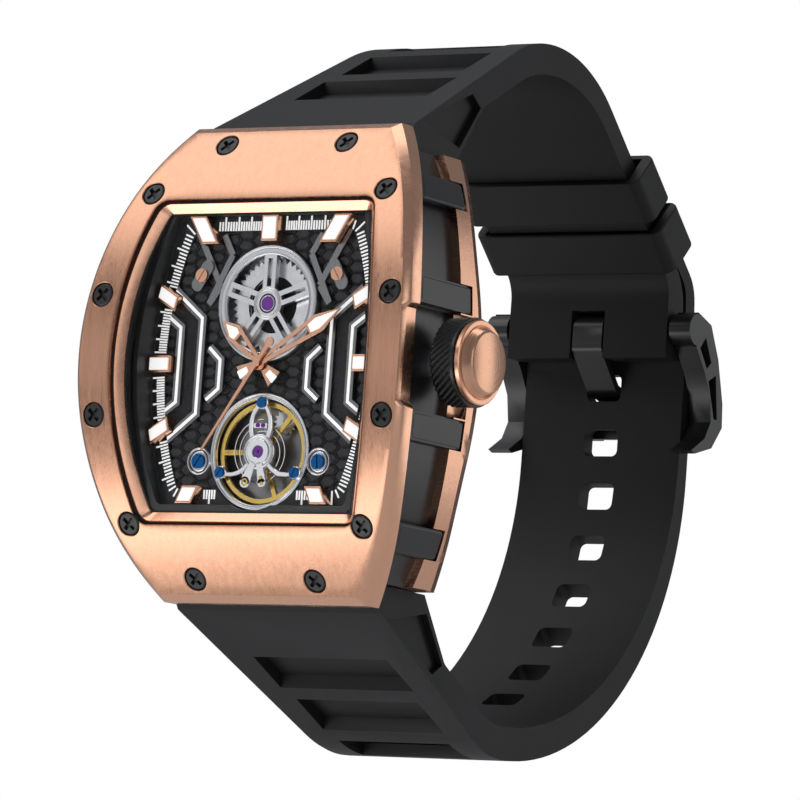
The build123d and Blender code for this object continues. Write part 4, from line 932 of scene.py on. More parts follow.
@dataclass(frozen=True)
class ScrewHead:
    """A round screw head with a softened edge and one slot, or two that cross."""

    radius: float
    height: float
    slot_width: float
    slot_reach: float
    slot_depth: float
    edge: float = 0.12
    slots: int = 1

    def build(self, name: str, frames: Sequence[Matrix], look: Look) -> bpy.types.Object:
        """Stand heads with their tops on frames.

        Args:
            name: name of the object.
            frames: place and turn of each top.
            look: their finish.

        Returns:
            The heads as one object.
        """
        lengths = {
            "Radius": self.radius,
            "Height": self.height,
            "Edge": self.edge,
            "Slot width": self.slot_width,
            "Slot reach": self.slot_reach,
            "Slot depth": self.slot_depth,
        }
        graph = Pattern(name, lengths, {"Slots": self.slots})
        radius, height, edge, width, reach, depth, slots = graph.given()
        across, along, up = graph.position()
        past = graph.maths("MAXIMUM", (up - (height * 0.5 - edge)) / edge, 0.0)
        share = 1.0 - past * past * edge / radius
        drum = graph.cylinder(36, 10, radius, height)
        head = graph.moved(drum, graph.combine(across * share, along * share, up - height * 0.5))
        bar = graph.block(reach * 2.0, width, depth * 2.0)
        places = graph.wire(graph.add("GeometryNodePoints", None, {"Count": slots}))
        turn = graph.wire(graph.add("GeometryNodeInputIndex")) * math.pi / slots + math.pi / 4
        bars = graph.copies(places, bar, graph.combine(0.0, 0.0, turn))
        return graph.worked(graph.stand(graph.less(head, bars)), marks(frames), look, name)


def dressed(thing: bpy.types.Object, look: Look) -> None:
    """Give an object one finish."""
    thing.data.materials.clear()
    thing.data.materials.append(look.value.material())


def show(piece: bpy.types.Object, look: Look, body: str, *nodes: str) -> bpy.types.Object:
    """Give a piece its finish and body, and let it stand for CAD nodes.

    Args:
        piece: the finished piece.
        look: its finish.
        body: the body that carries it.
        nodes: CAD nodes that it replaces.

    Returns:
        The piece.
    """
    dressed(piece, look)
    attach(piece, body)
    if nodes:
        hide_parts(*nodes)
    log.info("%s on %s", piece.name, body)
    return piece


# Outlines and bowed surfaces


@dataclass(frozen=True)
class Bow:
    """A surface bowed about the X axis, by its height in the middle and its radius."""

    height: float
    radius: float

    def at(self, up: np.ndarray | float, drop: float = 0.0) -> np.ndarray:
        """Y of the surface, or of one that lies a drop behind it."""
        return DIAL_Y - self.height + self.radius - np.sqrt((self.radius - drop) ** 2 - np.asarray(up) ** 2)


@dataclass(frozen=True)
class Outline:
    """An outline about the middle of the dial, the same in all four quarters."""

    def quarter(self, grow: float) -> np.ndarray:
        """Points from the crown side up to twelve o'clock."""
        raise NotImplementedError

    def reach(self, turn: np.ndarray, grow: float) -> np.ndarray:
        """Distance of the outline from the middle.

        Args:
            turn: angles from the crown side.
            grow: how far the outline is grown.

        Returns:
            The distance at each angle.
        """
        quarter = self.quarter(grow)
        around = np.arctan2(quarter[:, 1], quarter[:, 0])
        folded = np.abs(np.mod(turn + math.pi / 2, math.pi) - math.pi / 2)
        return np.interp(folded, around, np.hypot(quarter[:, 0], quarter[:, 1]))


@dataclass(frozen=True)
class CaseOutline(Outline):
    """Outline of the case."""

    half_width: float = 20.5
    half_height: float = 25.0
    shoulder: Pair = (0.88, 0.616)
    end: float = 0.62
    steps: int = 120

    def quarter(self, grow: float) -> np.ndarray:
        """A long side arc, an arc over the shoulder and a straight end.

        Args:
            grow: how far the outline is grown.

        Returns:
            The points.
        """
        wide, tall = self.half_width + grow, self.half_height + grow
        shoulder = np.array((self.shoulder[0] * wide, self.shoulder[1] * tall))
        end = np.array((self.end * wide, tall))
        fall = wide - shoulder[0]
        radius = (fall**2 + shoulder[1] ** 2) / (2 * fall)
        centre = np.array((wide - radius, 0.0))
        side = arc(centre, radius, 0.0, math.atan2(shoulder[1], shoulder[0] - centre[0]), self.steps)
        inward = (centre - shoulder) / radius
        apart = end - shoulder
        bend = apart @ apart / (2 * apart @ inward)
        middle = shoulder + inward * bend
        angles = [math.atan2(*(point - middle)[::-1]) for point in (shoulder, end)]
        top = np.linspace(end, (0.0, tall), self.steps)
        return np.vstack((side, arc(middle, bend, *angles, self.steps)[1:], top[1:]))


@dataclass(frozen=True)
class WindowOutline(Outline):
    """Outline of the window in the bezel."""

    half_width: float = 14.45
    half_height: float = 15.4
    end: float = 11.85
    corner: float = 0.7
    side_steps: int = 150
    corner_steps: int = 30
    end_steps: int = 120

    def quarter(self, grow: float) -> np.ndarray:
        """A side arc, a small corner and a straight end.

        Args:
            grow: how far the outline is grown.

        Returns:
            The points.
        """
        wide, tall, end = self.half_width + grow, self.half_height + grow, self.end + grow
        bend = self.corner + 0.6 * max(grow, 0.0)
        fall = wide - end
        radius = (fall**2 + tall**2) / (2 * fall)
        middle = tall - bend
        across = wide - radius + math.sqrt((radius - bend) ** 2 - middle**2)
        lean = math.atan2(middle, across - wide + radius)
        side = arc((wide - radius, 0.0), radius, 0.0, lean, self.side_steps)
        corner = arc((across, middle), bend, lean, math.pi / 2, self.corner_steps)
        top = np.linspace((across, tall), (0.0, tall), self.end_steps)
        return np.vstack((side, corner[1:], top[1:]))

    def corner_turns(self, grow: float) -> np.ndarray:
        """Angles of five points along the corner.

        Args:
            grow: how far the outline is grown.

        Returns:
            The angles.
        """
        first = self.side_steps - 1
        among = np.round(np.linspace(first, first + self.corner_steps - 1, 5)).astype(int)
        corner = self.quarter(grow)[among]
        return np.arctan2(corner[:, 1], corner[:, 0])


@dataclass
class Case:
    """The rose gold bezel and back, the black middle with its ribs, the screws and the crystal.

    The bezel is a bowed plate. From its outline inwards it has a chamfer, the brushed front, the lip with a
    groove round it, and the lip's polished slope down to the opening.
    """

    outline: CaseOutline = CaseOutline()
    window: WindowOutline = WindowOutline()
    columns: int = 400
    front: Bow = Bow(5.0, 45.0)
    thickness: float = 2.4
    chamfer: float = 0.7
    soft: Pair = (0.05, 0.03)
    window_drop: float = 0.4
    lip: float = 1.6
    step: float = 0.45
    fall: float = 0.85
    opening: Pair = (0.5, 0.2)
    groove: float = 0.28
    groove_depth: float = 0.35
    groove_shade: Pair = (-0.2, 0.04)
    notch_half: float = 5.3
    notch: float = 0.5
    screw: ScrewHead = ScrewHead(1.22, 0.9, 0.42, 0.82, 0.42, edge=0.16, slots=2)
    screw_shares: tuple[Pair, ...] = ((0.363, 0.912), (0.707, 0.696), (0.872, 0.253))
    screw_gap: float = 0.1
    screw_sink: float = 0.06
    screw_section: tuple[Pair, ...] = ((0.0, -1.5), (0.0, -0.09), (0.16, 0.07), (0.16, 0.6))
    seal_inward: Pair = (0.02, 0.16)
    seal_drops: Pair = (1.4, 2.25)
    crystal_front: Bow = Bow(4.45, 45.0)
    crystal_rear: Bow = Bow(2.7, 70.0)
    crystal_inward: Pair = (0.17, 0.32)
    crystal_bevel: float = 0.12
    crystal_shares: tuple[float, ...] = (0.02, 0.3, 0.6, 0.85, 1.0)
    back_edge: Pair = (0.8, 1.9)
    back_depth: float = 10.75
    back_flat: float = 9.0
    back_end: float = 22.5
    back_rise: float = 3.25
    rib_places: Pair = (7.0, 18.1)
    rib_half: float = 1.53
    rib_proud: float = 0.04
    rib_root: float = 2.0
    rib_past: float = 2.1
    rib_rear: Bow = Bow(-5.3, 76.0)
    rib_edge: float = 0.42

    def turns(self) -> np.ndarray:
        """Angles of the columns, with the corners of the window and of the case among them.

        Returns:
            The angles, rising.
        """
        even = np.linspace(0, TURN, self.columns, endpoint=False)
        end = math.atan2(self.outline.half_height, self.outline.end * self.outline.half_width)
        corner = [*self.window.corner_turns(0.0), *self.window.corner_turns(self.lip), end]
        notch = [math.asin((self.notch_half + step) / self.outline.half_width) for step in (-self.notch, 0.0)]
        quarters = np.array([*corner, *notch])
        extra = np.mod(np.r_[quarters, -quarters, math.pi - quarters, math.pi + quarters], TURN)
        return np.unique(np.round(np.r_[even, extra], 5))

    def row(self, turn: np.ndarray, outline: Outline, grow: float) -> np.ndarray:
        """Distances of an outline, with the notch beside the crown in the case's own.

        Args:
            turn: angles of the columns.
            outline: outline of the case or of the window.
            grow: how far the outline is grown.

        Returns:
            The distance at each angle.
        """
        reach = outline.reach(turn, grow)
        if outline is self.outline:
            off_level = np.abs(reach * np.sin(turn))
            beside = np.clip((self.notch_half - off_level) / self.notch, 0, 1) * (np.cos(turn) > 0)
            reach = reach + beside * np.minimum(outline.reach(turn, -self.notch) - reach, 0)
        return reach

    def points(
        self,
        turn: np.ndarray,
        reach: np.ndarray,
        drop: float,
        surface: Bow | None = None,
        low: float = 0.0,
    ) -> np.ndarray:
        """Row of points at a drop behind the bezel's front or another surface, let down by a length."""
        across, up = reach * np.cos(turn), reach * np.sin(turn) - low
        return np.c_[across, (surface or self.front).at(up, drop), up]

    def sight(self, turn: np.ndarray, inward: float = 0.0) -> np.ndarray:
        """Distances of the bezel's inner edge, or of a line inside it."""
        ends = (self.window.half_height + self.opening[1] - inward) / np.maximum(np.abs(np.sin(turn)), 1e-6)
        return np.minimum(self.row(turn, self.window, self.opening[0] - inward), ends)

    def window_ring(self, name: str, rows: Iterable[tuple[np.ndarray, float]]) -> bpy.types.Object:
        """Make a ring round the window.

        Args:
            name: name of the piece.
            rows: distances and drop of each corner of its section.

        Returns:
            The ring.
        """
        turn, low = self.turns(), self.window_drop
        shape = Shape()
        net = [self.points(turn, reach, drop, low=low) for reach, drop in rows]
        shape.grid(np.array(net), wrap_rows=True)
        return shape.made(name)

    def screw_frames(self) -> list[Matrix]:
        """Frames of the screws on the bowed front.

        Returns:
            The frames, Z out of the bezel.
        """
        frames = []
        for (a, b), i, k in itertools.product(self.screw_shares, (1, -1), (1, -1)):
            across = i * a * self.outline.half_width
            up = k * b * self.outline.half_height
            tilt = math.asin(up / self.front.radius)
            out = Vector((0, -math.cos(tilt), math.sin(tilt)))
            side = Vector((1, 0, 0))
            frame = Matrix((side, out.cross(side), out)).transposed().to_4x4()
            frame.translation = Vector((across, float(self.front.at(up)), up))
            frames.append(frame)
        return frames

    def screw_room(self, frame: Matrix) -> Shape:
        """Room for one screw, with a polished cone at its rim.

        Args:
            frame: frame of the screw.

        Returns:
            The room, as a cutter.
        """
        turn = np.linspace(0, TURN, 48, endpoint=False)
        wide = self.screw.radius + self.screw_gap
        rows = [(wide + grow, height) for grow, height in self.screw_section]
        net = [[tuple(frame @ Vector((r * math.cos(t), r * math.sin(t), h))) for t in turn] for r, h in rows]
        room = Shape()
        room.closed(np.array(net))
        return room

    def bezel(self) -> bpy.types.Object:
        """Make the bowed plate with its window, the stepped lip, the groove and the outer chamfer.

        Returns:
            The plate.
        """
        turn, window, outline = self.turns(), self.window, self.outline
        across, down = self.soft
        slope_end = self.step + self.fall
        ledge, bottom = self.lip - self.groove, self.step + self.groove_depth
        inner = [
            (self.sight(turn), self.thickness),
            (self.sight(turn), slope_end + 0.08),
            (self.sight(turn, -across), slope_end - 0.02),
            (self.row(turn, window, ledge - 0.14), self.step),
            (self.row(turn, window, ledge - 0.06), self.step + 0.03),
            (self.row(turn, window, ledge), self.step + 0.12),
            (self.row(turn, window, ledge), bottom),
            (self.row(turn, window, self.lip), bottom),
            (self.row(turn, window, self.lip), 0.12),
            (self.row(turn, window, self.lip + across), down),
        ]
        outer = [
            (self.row(turn, outline, -self.chamfer + across), down),
            (self.row(turn, outline, -across), self.chamfer - across),
            (self.row(turn, outline, 0.0), self.chamfer + 0.06),
            (self.row(turn, outline, 0.0), self.thickness),
        ]
        rows = [self.points(turn, reach, drop, low=self.window_drop) for reach, drop in inner]
        start, end = self.row(turn, window, self.lip + 0.14), self.row(turn, outline, -self.chamfer)
        for share in np.linspace(0, 1, 7):
            low = self.window_drop * (1 - share)
            rows.append(self.points(turn, start + (end - start) * share, 0.0, low=low))
        rows += [self.points(turn, reach, drop) for reach, drop in outer]
        shape = Shape()
        shape.grid(np.array(rows), wrap_rows=True)
        rooms = [self.screw_room(frame) for frame in self.screw_frames()]
        return cut(shape.made("bezel_plate"), rooms, "bezel_plate")

    def polish(self, plate: bpy.types.Object) -> None:
        """Polish the bezel's outer chamfer and its lip, beside the brushed front.

        Args:
            plate: the bezel.
        """
        plate.data.materials.append(Look.ROSE_BRIGHT.value.material())
        centres = np.array([face.center for face in plate.data.polygons]) / MM
        across, up = centres[:, 0], centres[:, 2]
        edge = self.row(np.arctan2(up, across), self.outline, -self.chamfer)
        raised = up + self.window_drop
        lip = self.window.reach(np.arctan2(raised, across), self.lip)
        polished = (np.hypot(across, up) > edge + 0.02) | (np.hypot(across, raised) < lip)
        plate.data.polygons.foreach_set("material_index", polished.astype(np.int32))

    def back(self) -> bpy.types.Object:
        """Make the back plate, with a broad bevel round its rear edge.

        Returns:
            The plate.
        """
        flat, high, rise = self.back_flat, self.back_end, self.back_rise
        bow = ((high - flat) ** 2 + rise**2) / (2 * rise)
        up = np.linspace(-high - 0.5, high + 0.5, 90)
        edge = self.side(up)
        past = np.clip(np.abs(up) - flat, 0, high - flat + 1)
        rear = DIAL_Y + self.back_depth + bow - np.sqrt(bow**2 - past**2)
        inward, drop = self.back_edge
        section = [
            (edge - 1.25 * inward, 0.25 * drop),
            (edge + 0.25 * inward, -1.25 * drop),
            (edge + 2, 2.0),
        ]
        cutters = []
        for side in (-1, 1):
            net = [np.c_[side * reach, rear + depth, up] for reach, depth in section]
            cutter = Shape()
            cutter.closed(np.stack(net, axis=1))
            cutters.append(cutter)
        made = cut(copied("case_back", "back_plate"), cutters, "back_plate")
        made.modifiers.new("even", "WEIGHTED_NORMAL").keep_sharp = True
        return made

    def side(self, up: np.ndarray) -> np.ndarray:
        """Half width of the case.

        Args:
            up: heights towards twelve o'clock.

        Returns:
            The half width at each height.
        """
        quarter = self.outline.quarter(0.0)
        order = np.argsort(quarter[:, 1], kind="stable")
        return np.interp(np.abs(up), quarter[order, 1], quarter[order, 0])

    def line(self) -> bpy.types.Object:
        """Make the dark ring at the bottom of the bezel's groove, a painted shade.

        Returns:
            The line.
        """
        turn = self.turns()
        outer, inner = (self.row(turn, self.window, grow) for grow in (self.lip - self.groove, self.lip))
        top, foot = (self.step + self.groove_depth + drop for drop in self.groove_shade)
        return self.window_ring("bezel_groove_shade", ((outer, foot), (outer, top), (inner, top), (inner, foot)))

    def seal(self) -> bpy.types.Object:
        """Make the thin dark ring between the crystal and the lip.

        Returns:
            The ring.
        """
        turn = self.turns()
        outer, inner = (self.sight(turn, inward) for inward in self.seal_inward)
        top, foot = self.seal_drops
        return self.window_ring("crystal_seal", ((inner, top), (outer, top), (outer, foot), (inner, foot)))

    def ribs(self) -> bpy.types.Object:
        """Make the rounded ribs on both flanks, from the bezel into the notches of the back.

        Returns:
            The ribs.
        """
        shape = Shape()
        for side, middle, way in itertools.product((-1, 1), self.rib_places, (-1, 1)):
            up = way * middle + np.linspace(-self.rib_half, self.rib_half, 7)
            out, root = self.side(up) + self.rib_proud, self.side(up) - self.rib_root
            front, end = self.front.at(up, self.thickness), self.rib_rear.at(up) + self.rib_past
            corners = ((root, front), (out, front), (out, end), (root, end))
            shape.closed(np.stack([np.c_[side * x, y, up] for x, y in corners], axis=1))
        return bevelled(shape.made("case_ribs"), self.rib_edge, 3, 40.0)

    def crystal(self) -> bpy.types.Object:
        """Make the clear pane, bowed like the bezel, with a fine bevel.

        Returns:
            The pane.
        """
        turn, low = self.turns(), self.window_drop
        edge, inner = (self.sight(turn, inward) for inward in self.crystal_inward)
        shares = self.crystal_shares
        rows = [self.points(turn, edge * share, 0.0, self.crystal_rear, low) for share in shares]
        rows.append(self.points(turn, edge, self.crystal_bevel, self.crystal_front, low))
        rows += [self.points(turn, inner * share, 0.0, self.crystal_front, low) for share in shares[::-1]]
        shape = Shape()
        shape.closed(np.array(rows))
        return shape.made("crystal_pane")

    def build(self) -> None:
        """Build and dress the case."""
        self.polish(show(self.bezel(), Look.BEZEL, "case", "bezel"))
        # The dark ring in the bezel's groove is painted shade.
        show(self.line(), Look.SEAL_AND_SHADE, "case")
        show(self.crystal(), Look.GLASS, "case", "crystal")
        show(self.seal(), Look.SEAL_AND_SHADE, "case", "crystal_gasket")
        show(self.ribs(), Look.BLACK, "case")
        show(rounded("case_middle", 0.25, "middle_case", 3), Look.BLACK, "case", "case_middle")
        show(self.back(), Look.BACK, "case", "case_back")
        tops = [frame @ Matrix.Translation((0, 0, -self.screw_sink)) for frame in self.screw_frames()]
        show(self.screw.build("bezel_heads", tops, Look.SCREW), Look.SCREW, "case", "bezel_screws")


@dataclass
class Dial:
    """The chapter ring with its ticks, the hexagon tiles and the grained bands between the frames."""

    layout: Layout = Layout()
    window: WindowOutline = WindowOutline()
    foot: float = -0.7
    ring_up: float = -0.3
    flange_edges: Pair = (-1.95, -0.2)
    flange_top: Bow = Bow(2.4, 70.0)
    flange_rim: float = 0.45
    tick_count: int = 300
    tick_width: float = 0.17
    tick_long: float = 1.45
    tick_short: float = 0.95
    tick_thick: float = 0.08
    tick_rise: float = 0.02
    tick_start: float = 0.1
    tick_near_marker: float = 0.25
    tick_near_opening: float = 0.4
    edge_step: float = 0.004
    tile_pitch: Pair = (1.75, 1.2)
    tile_size: Pair = (2.22, 1.12)
    tile_rise: float = 0.26
    tile_taper: float = 0.42
    tile_reach: tuple[int, int] = (9, 14)
    band_up: float = -0.3
    outer_shares: tuple[Pair, ...] = ((-0.925, 0.345), (-0.742, 0.222), (-0.742, -0.286), (-0.925, -0.405))
    inner_shares: tuple[Pair, ...] = ((-0.885, 0.530), (-0.560, 0.285), (-0.560, -0.365), (-0.860, -0.585))

    def seen(self, node: str) -> BVHTree:
        """Make a CAD node ready to cast rays at.

        Args:
            node: name of the node.

        Returns:
            The tree of its faces.
        """
        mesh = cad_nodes[node].data
        faces = [list(face.vertices) for face in mesh.polygons]
        return BVHTree.FromPolygons([vertex.co for vertex in mesh.vertices], faces)

    def row(self, turn: np.ndarray, grow: float, height: float | Bow) -> np.ndarray:
        """Row of points along the window's outline.

        Args:
            turn: angles of the columns.
            grow: how far the outline is grown.
            height: height over the dial, or a bowed surface.

        Returns:
            The points.
        """
        reach = self.window.reach(turn, grow)
        across, up = reach * np.cos(turn), reach * np.sin(turn)
        depth = height.at(up) if isinstance(height, Bow) else np.full(len(turn), DIAL_Y - height)
        return np.c_[across, depth, up]

    def flange(self) -> bpy.types.Object:
        """Make the chapter ring: a flat step for the ticks at the foot of an upright wall.

        Returns:
            The ring, cut off round the balance.
        """
        inner, outer = self.flange_edges
        section = [
            (inner, self.foot),
            (inner, self.ring_up - 0.06),
            (inner + 0.06, self.ring_up),
            (outer - 0.12, self.ring_up),
            (outer - 0.05, self.ring_up + 0.06),
            (outer, self.flange_top),
            (self.flange_rim, self.flange_top),
            (self.flange_rim, self.foot),
        ]
        turn = Case().turns()
        shape, room = Shape(), Shape()
        shape.grid(np.array([self.row(turn, grow, height) for grow, height in section]), wrap_rows=True)
        wide = self.layout.opening
        room.disc(self.layout.balance, [(wide, self.foot - 0.5), (wide, 4.0)], 96)
        return cut(shape.made("flange_ring"), [room], "flange_ring")

    def on_edge(self, turn: float) -> np.ndarray:
        """Point where a line from the hands' axis meets the chapter ring's inner edge.

        Args:
            turn: angle of the line, clockwise from twelve o'clock.

        Returns:
            The point over the dial.
        """
        start, way = np.array(self.layout.hands), np.array((math.sin(turn), math.cos(turn)))
        far = 0.0
        for _ in range(30):
            point = start + way * far
            angle = math.atan2(point[1], point[0])
            far += self.window.reach(np.array([angle]), self.flange_edges[0])[0] - np.linalg.norm(point)
        return start + way * far

    def tick_frame(self, turn: float, long: float) -> Matrix:
        """Frame of one tick, square to the chapter ring's inner edge.

        Args:
            turn: angle, clockwise from twelve o'clock.
            long: length of the tick.

        Returns:
            The frame, X along the tick and Z towards the viewer.
        """
        before, here, after = (self.on_edge(turn + way * self.edge_step) for way in (-1, 0, 1))
        edge = after - before
        edge /= np.linalg.norm(edge)
        out = np.array((-edge[1], edge[0]))
        out *= np.sign(out @ here)
        slope, side = Vector((out[0], 0, out[1])), Vector((edge[0], 0, edge[1]))
        above = slope.cross(side)
        if above.y > 0:
            side, above = -side, -above
        frame = Matrix((slope, side, above)).transposed().to_4x4()
        start = Vector((here[0], DIAL_Y - self.ring_up, here[1]))
        frame.translation = start + slope * (self.tick_start + long / 2) + above * self.tick_rise
        return frame

    def ticks(self) -> bpy.types.Object:
        """Make five ticks to each minute, with the markers and the balance left free.

        Returns:
            The ticks as one object.
        """
        markers = self.seen("hour_markers")
        frames, sizes = [], []
        for i in range(self.tick_count):
            long = self.tick_long if i % 5 == 0 else self.tick_short
            frame = self.tick_frame(TURN * i / self.tick_count, long)
            middle, side = frame.translation, frame.col[1].to_3d()
            grown = [middle + side * way * self.tick_near_marker for way in (-1, 0, 1)]
            from_balance = math.dist((middle.x, middle.z), self.layout.balance)
            covered = any(markers.ray_cast(Vector((p.x, -50, p.z)) * MM, Vector((0, 1, 0)))[0] for p in grown)
            if from_balance >= self.layout.opening + self.tick_near_opening and not covered:
                frames.append(frame)
                sizes.append((long, self.tick_width, self.tick_thick))
        graph = Pattern("ticks", {"Unit": 1.0})
        (unit,) = graph.given()
        block = graph.block(unit, unit, unit)
        return graph.worked(graph.stand(block), marks(frames, sizes), Look.LUME, "minute_ticks")

    def tile_frames(self) -> list[Matrix]:
        """Frames of the tiles in staggered columns, clear of the openings and the bands.

        Returns:
            The frames.
        """
        columns, rows = self.tile_reach
        openings = (self.layout.barrel, self.layout.balance)
        frames = []
        for i, j in itertools.product(range(-columns, columns + 1), range(-rows, rows + 1)):
            across = i * self.tile_pitch[0]
            up = (j + 0.5 * (i % 2)) * self.tile_pitch[1]
            edge = self.window.reach(np.array([math.atan2(up, across)]), self.flange_edges[0] + 0.5)[0]
            clear = all(math.dist((across, up), centre) > self.layout.opening - 0.5 for centre in openings)
            if edge > math.hypot(across, up) and clear and not self.on_band(across, up):
                frames.append(facing(across, up, self.foot))
        return frames

    def tiles(self) -> bpy.types.Object:
        """Make long hexagons, stepped at their rims and cut off at the two openings.

        Returns:
            The tiles as one object.
        """
        lengths = {
            "Length": self.tile_size[0],
            "Width": self.tile_size[1],
            "Rise": self.tile_rise,
            "Opening": self.layout.opening,
            "Barrel up": self.layout.barrel[1],
            "Balance up": self.layout.balance[1],
            "Dial": DIAL_Y,
        }
        graph = Pattern("tiles", lengths)
        length, width, rise, opening, barrel, balance, dial = graph.given()
        x, y, z = graph.position()
        level = graph.maths("MAXIMUM", z + 0.5, 0.0)
        steps = []
        for low in (0.0, 0.5):
            rising = graph.maths("MAXIMUM", (level - low) * 4.0, 0.0)
            steps.append(graph.maths("MINIMUM", rising, 1.0))
        share = 1.0 - level * self.tile_taper
        height = (steps[0] + steps[1]) * 0.5 * rise
        place = graph.combine(x * share * length * 0.5, y * share * width / math.sqrt(3), height)
        tile = graph.moved(graph.cylinder(6, 4, 1.0, 1.0), place)
        drums = graph.add("GeometryNodeJoinGeometry")
        drum = graph.cylinder(96, 1, opening, 4 * MM)
        for up in (barrel, balance):
            upright = {"Translation": graph.combine(0.0, dial, up), "Rotation": (math.pi / 2, 0.0, 0.0)}
            stood = graph.add("GeometryNodeTransform", None, {"Geometry": drum} | upright)
            graph.feed(drums.inputs[0], graph.wire(stood))
        left = graph.less(graph.stand(tile), graph.wire(drums))
        return graph.worked(left, marks(self.tile_frames()), Look.TILE, "dial_tiles")

    def corners(self, shares: Sequence[Pair], side: int) -> np.ndarray:
        """Points over the dial from shares of the window."""
        return np.array([(side * a * self.window.half_width, b * self.window.half_height) for a, b in shares])

    def on_band(self, across: float, up: float) -> bool:
        """Find out whether a place lies between the two frames of a side.

        Args:
            across: place towards the crown.
            up: place towards twelve o'clock.

        Returns:
            Whether it does.
        """
        reach = []
        for shares in (self.outer_shares, self.inner_shares):
            line = self.corners(shares, -1)[::-1]
            reach.append(np.interp(up, line[:, 1], line[:, 0], left=99.0, right=99.0))
        return reach[1] < abs(across) < reach[0] + 0.3

    def bands(self) -> bpy.types.Object:
        """Make the grained plates between the outer and the inner frame on both sides.

        Returns:
            The plates.
        """
        shape = Shape()
        for side in (-1, 1):
            outer, inner = (self.corners(shares, side) for shares in (self.outer_shares, self.inner_shares))
            section = ((outer, self.foot), (outer, self.band_up), (inner, self.band_up), (inner, self.foot))
            net = [np.c_[line[:, 0], np.full(4, DIAL_Y - height), line[:, 1]] for line, height in section]
            shape.closed(np.stack(net, axis=1))
        return shape.made("dial_bands")

    def build(self) -> None:
        """Build and dress what the dial carries."""
        show(self.flange(), Look.FLANGE, "case", "minute_flange")
        show(self.ticks(), Look.LUME, "case")
        show(self.tiles(), Look.TILE, "case")
        show(self.bands(), Look.BAND, "case")


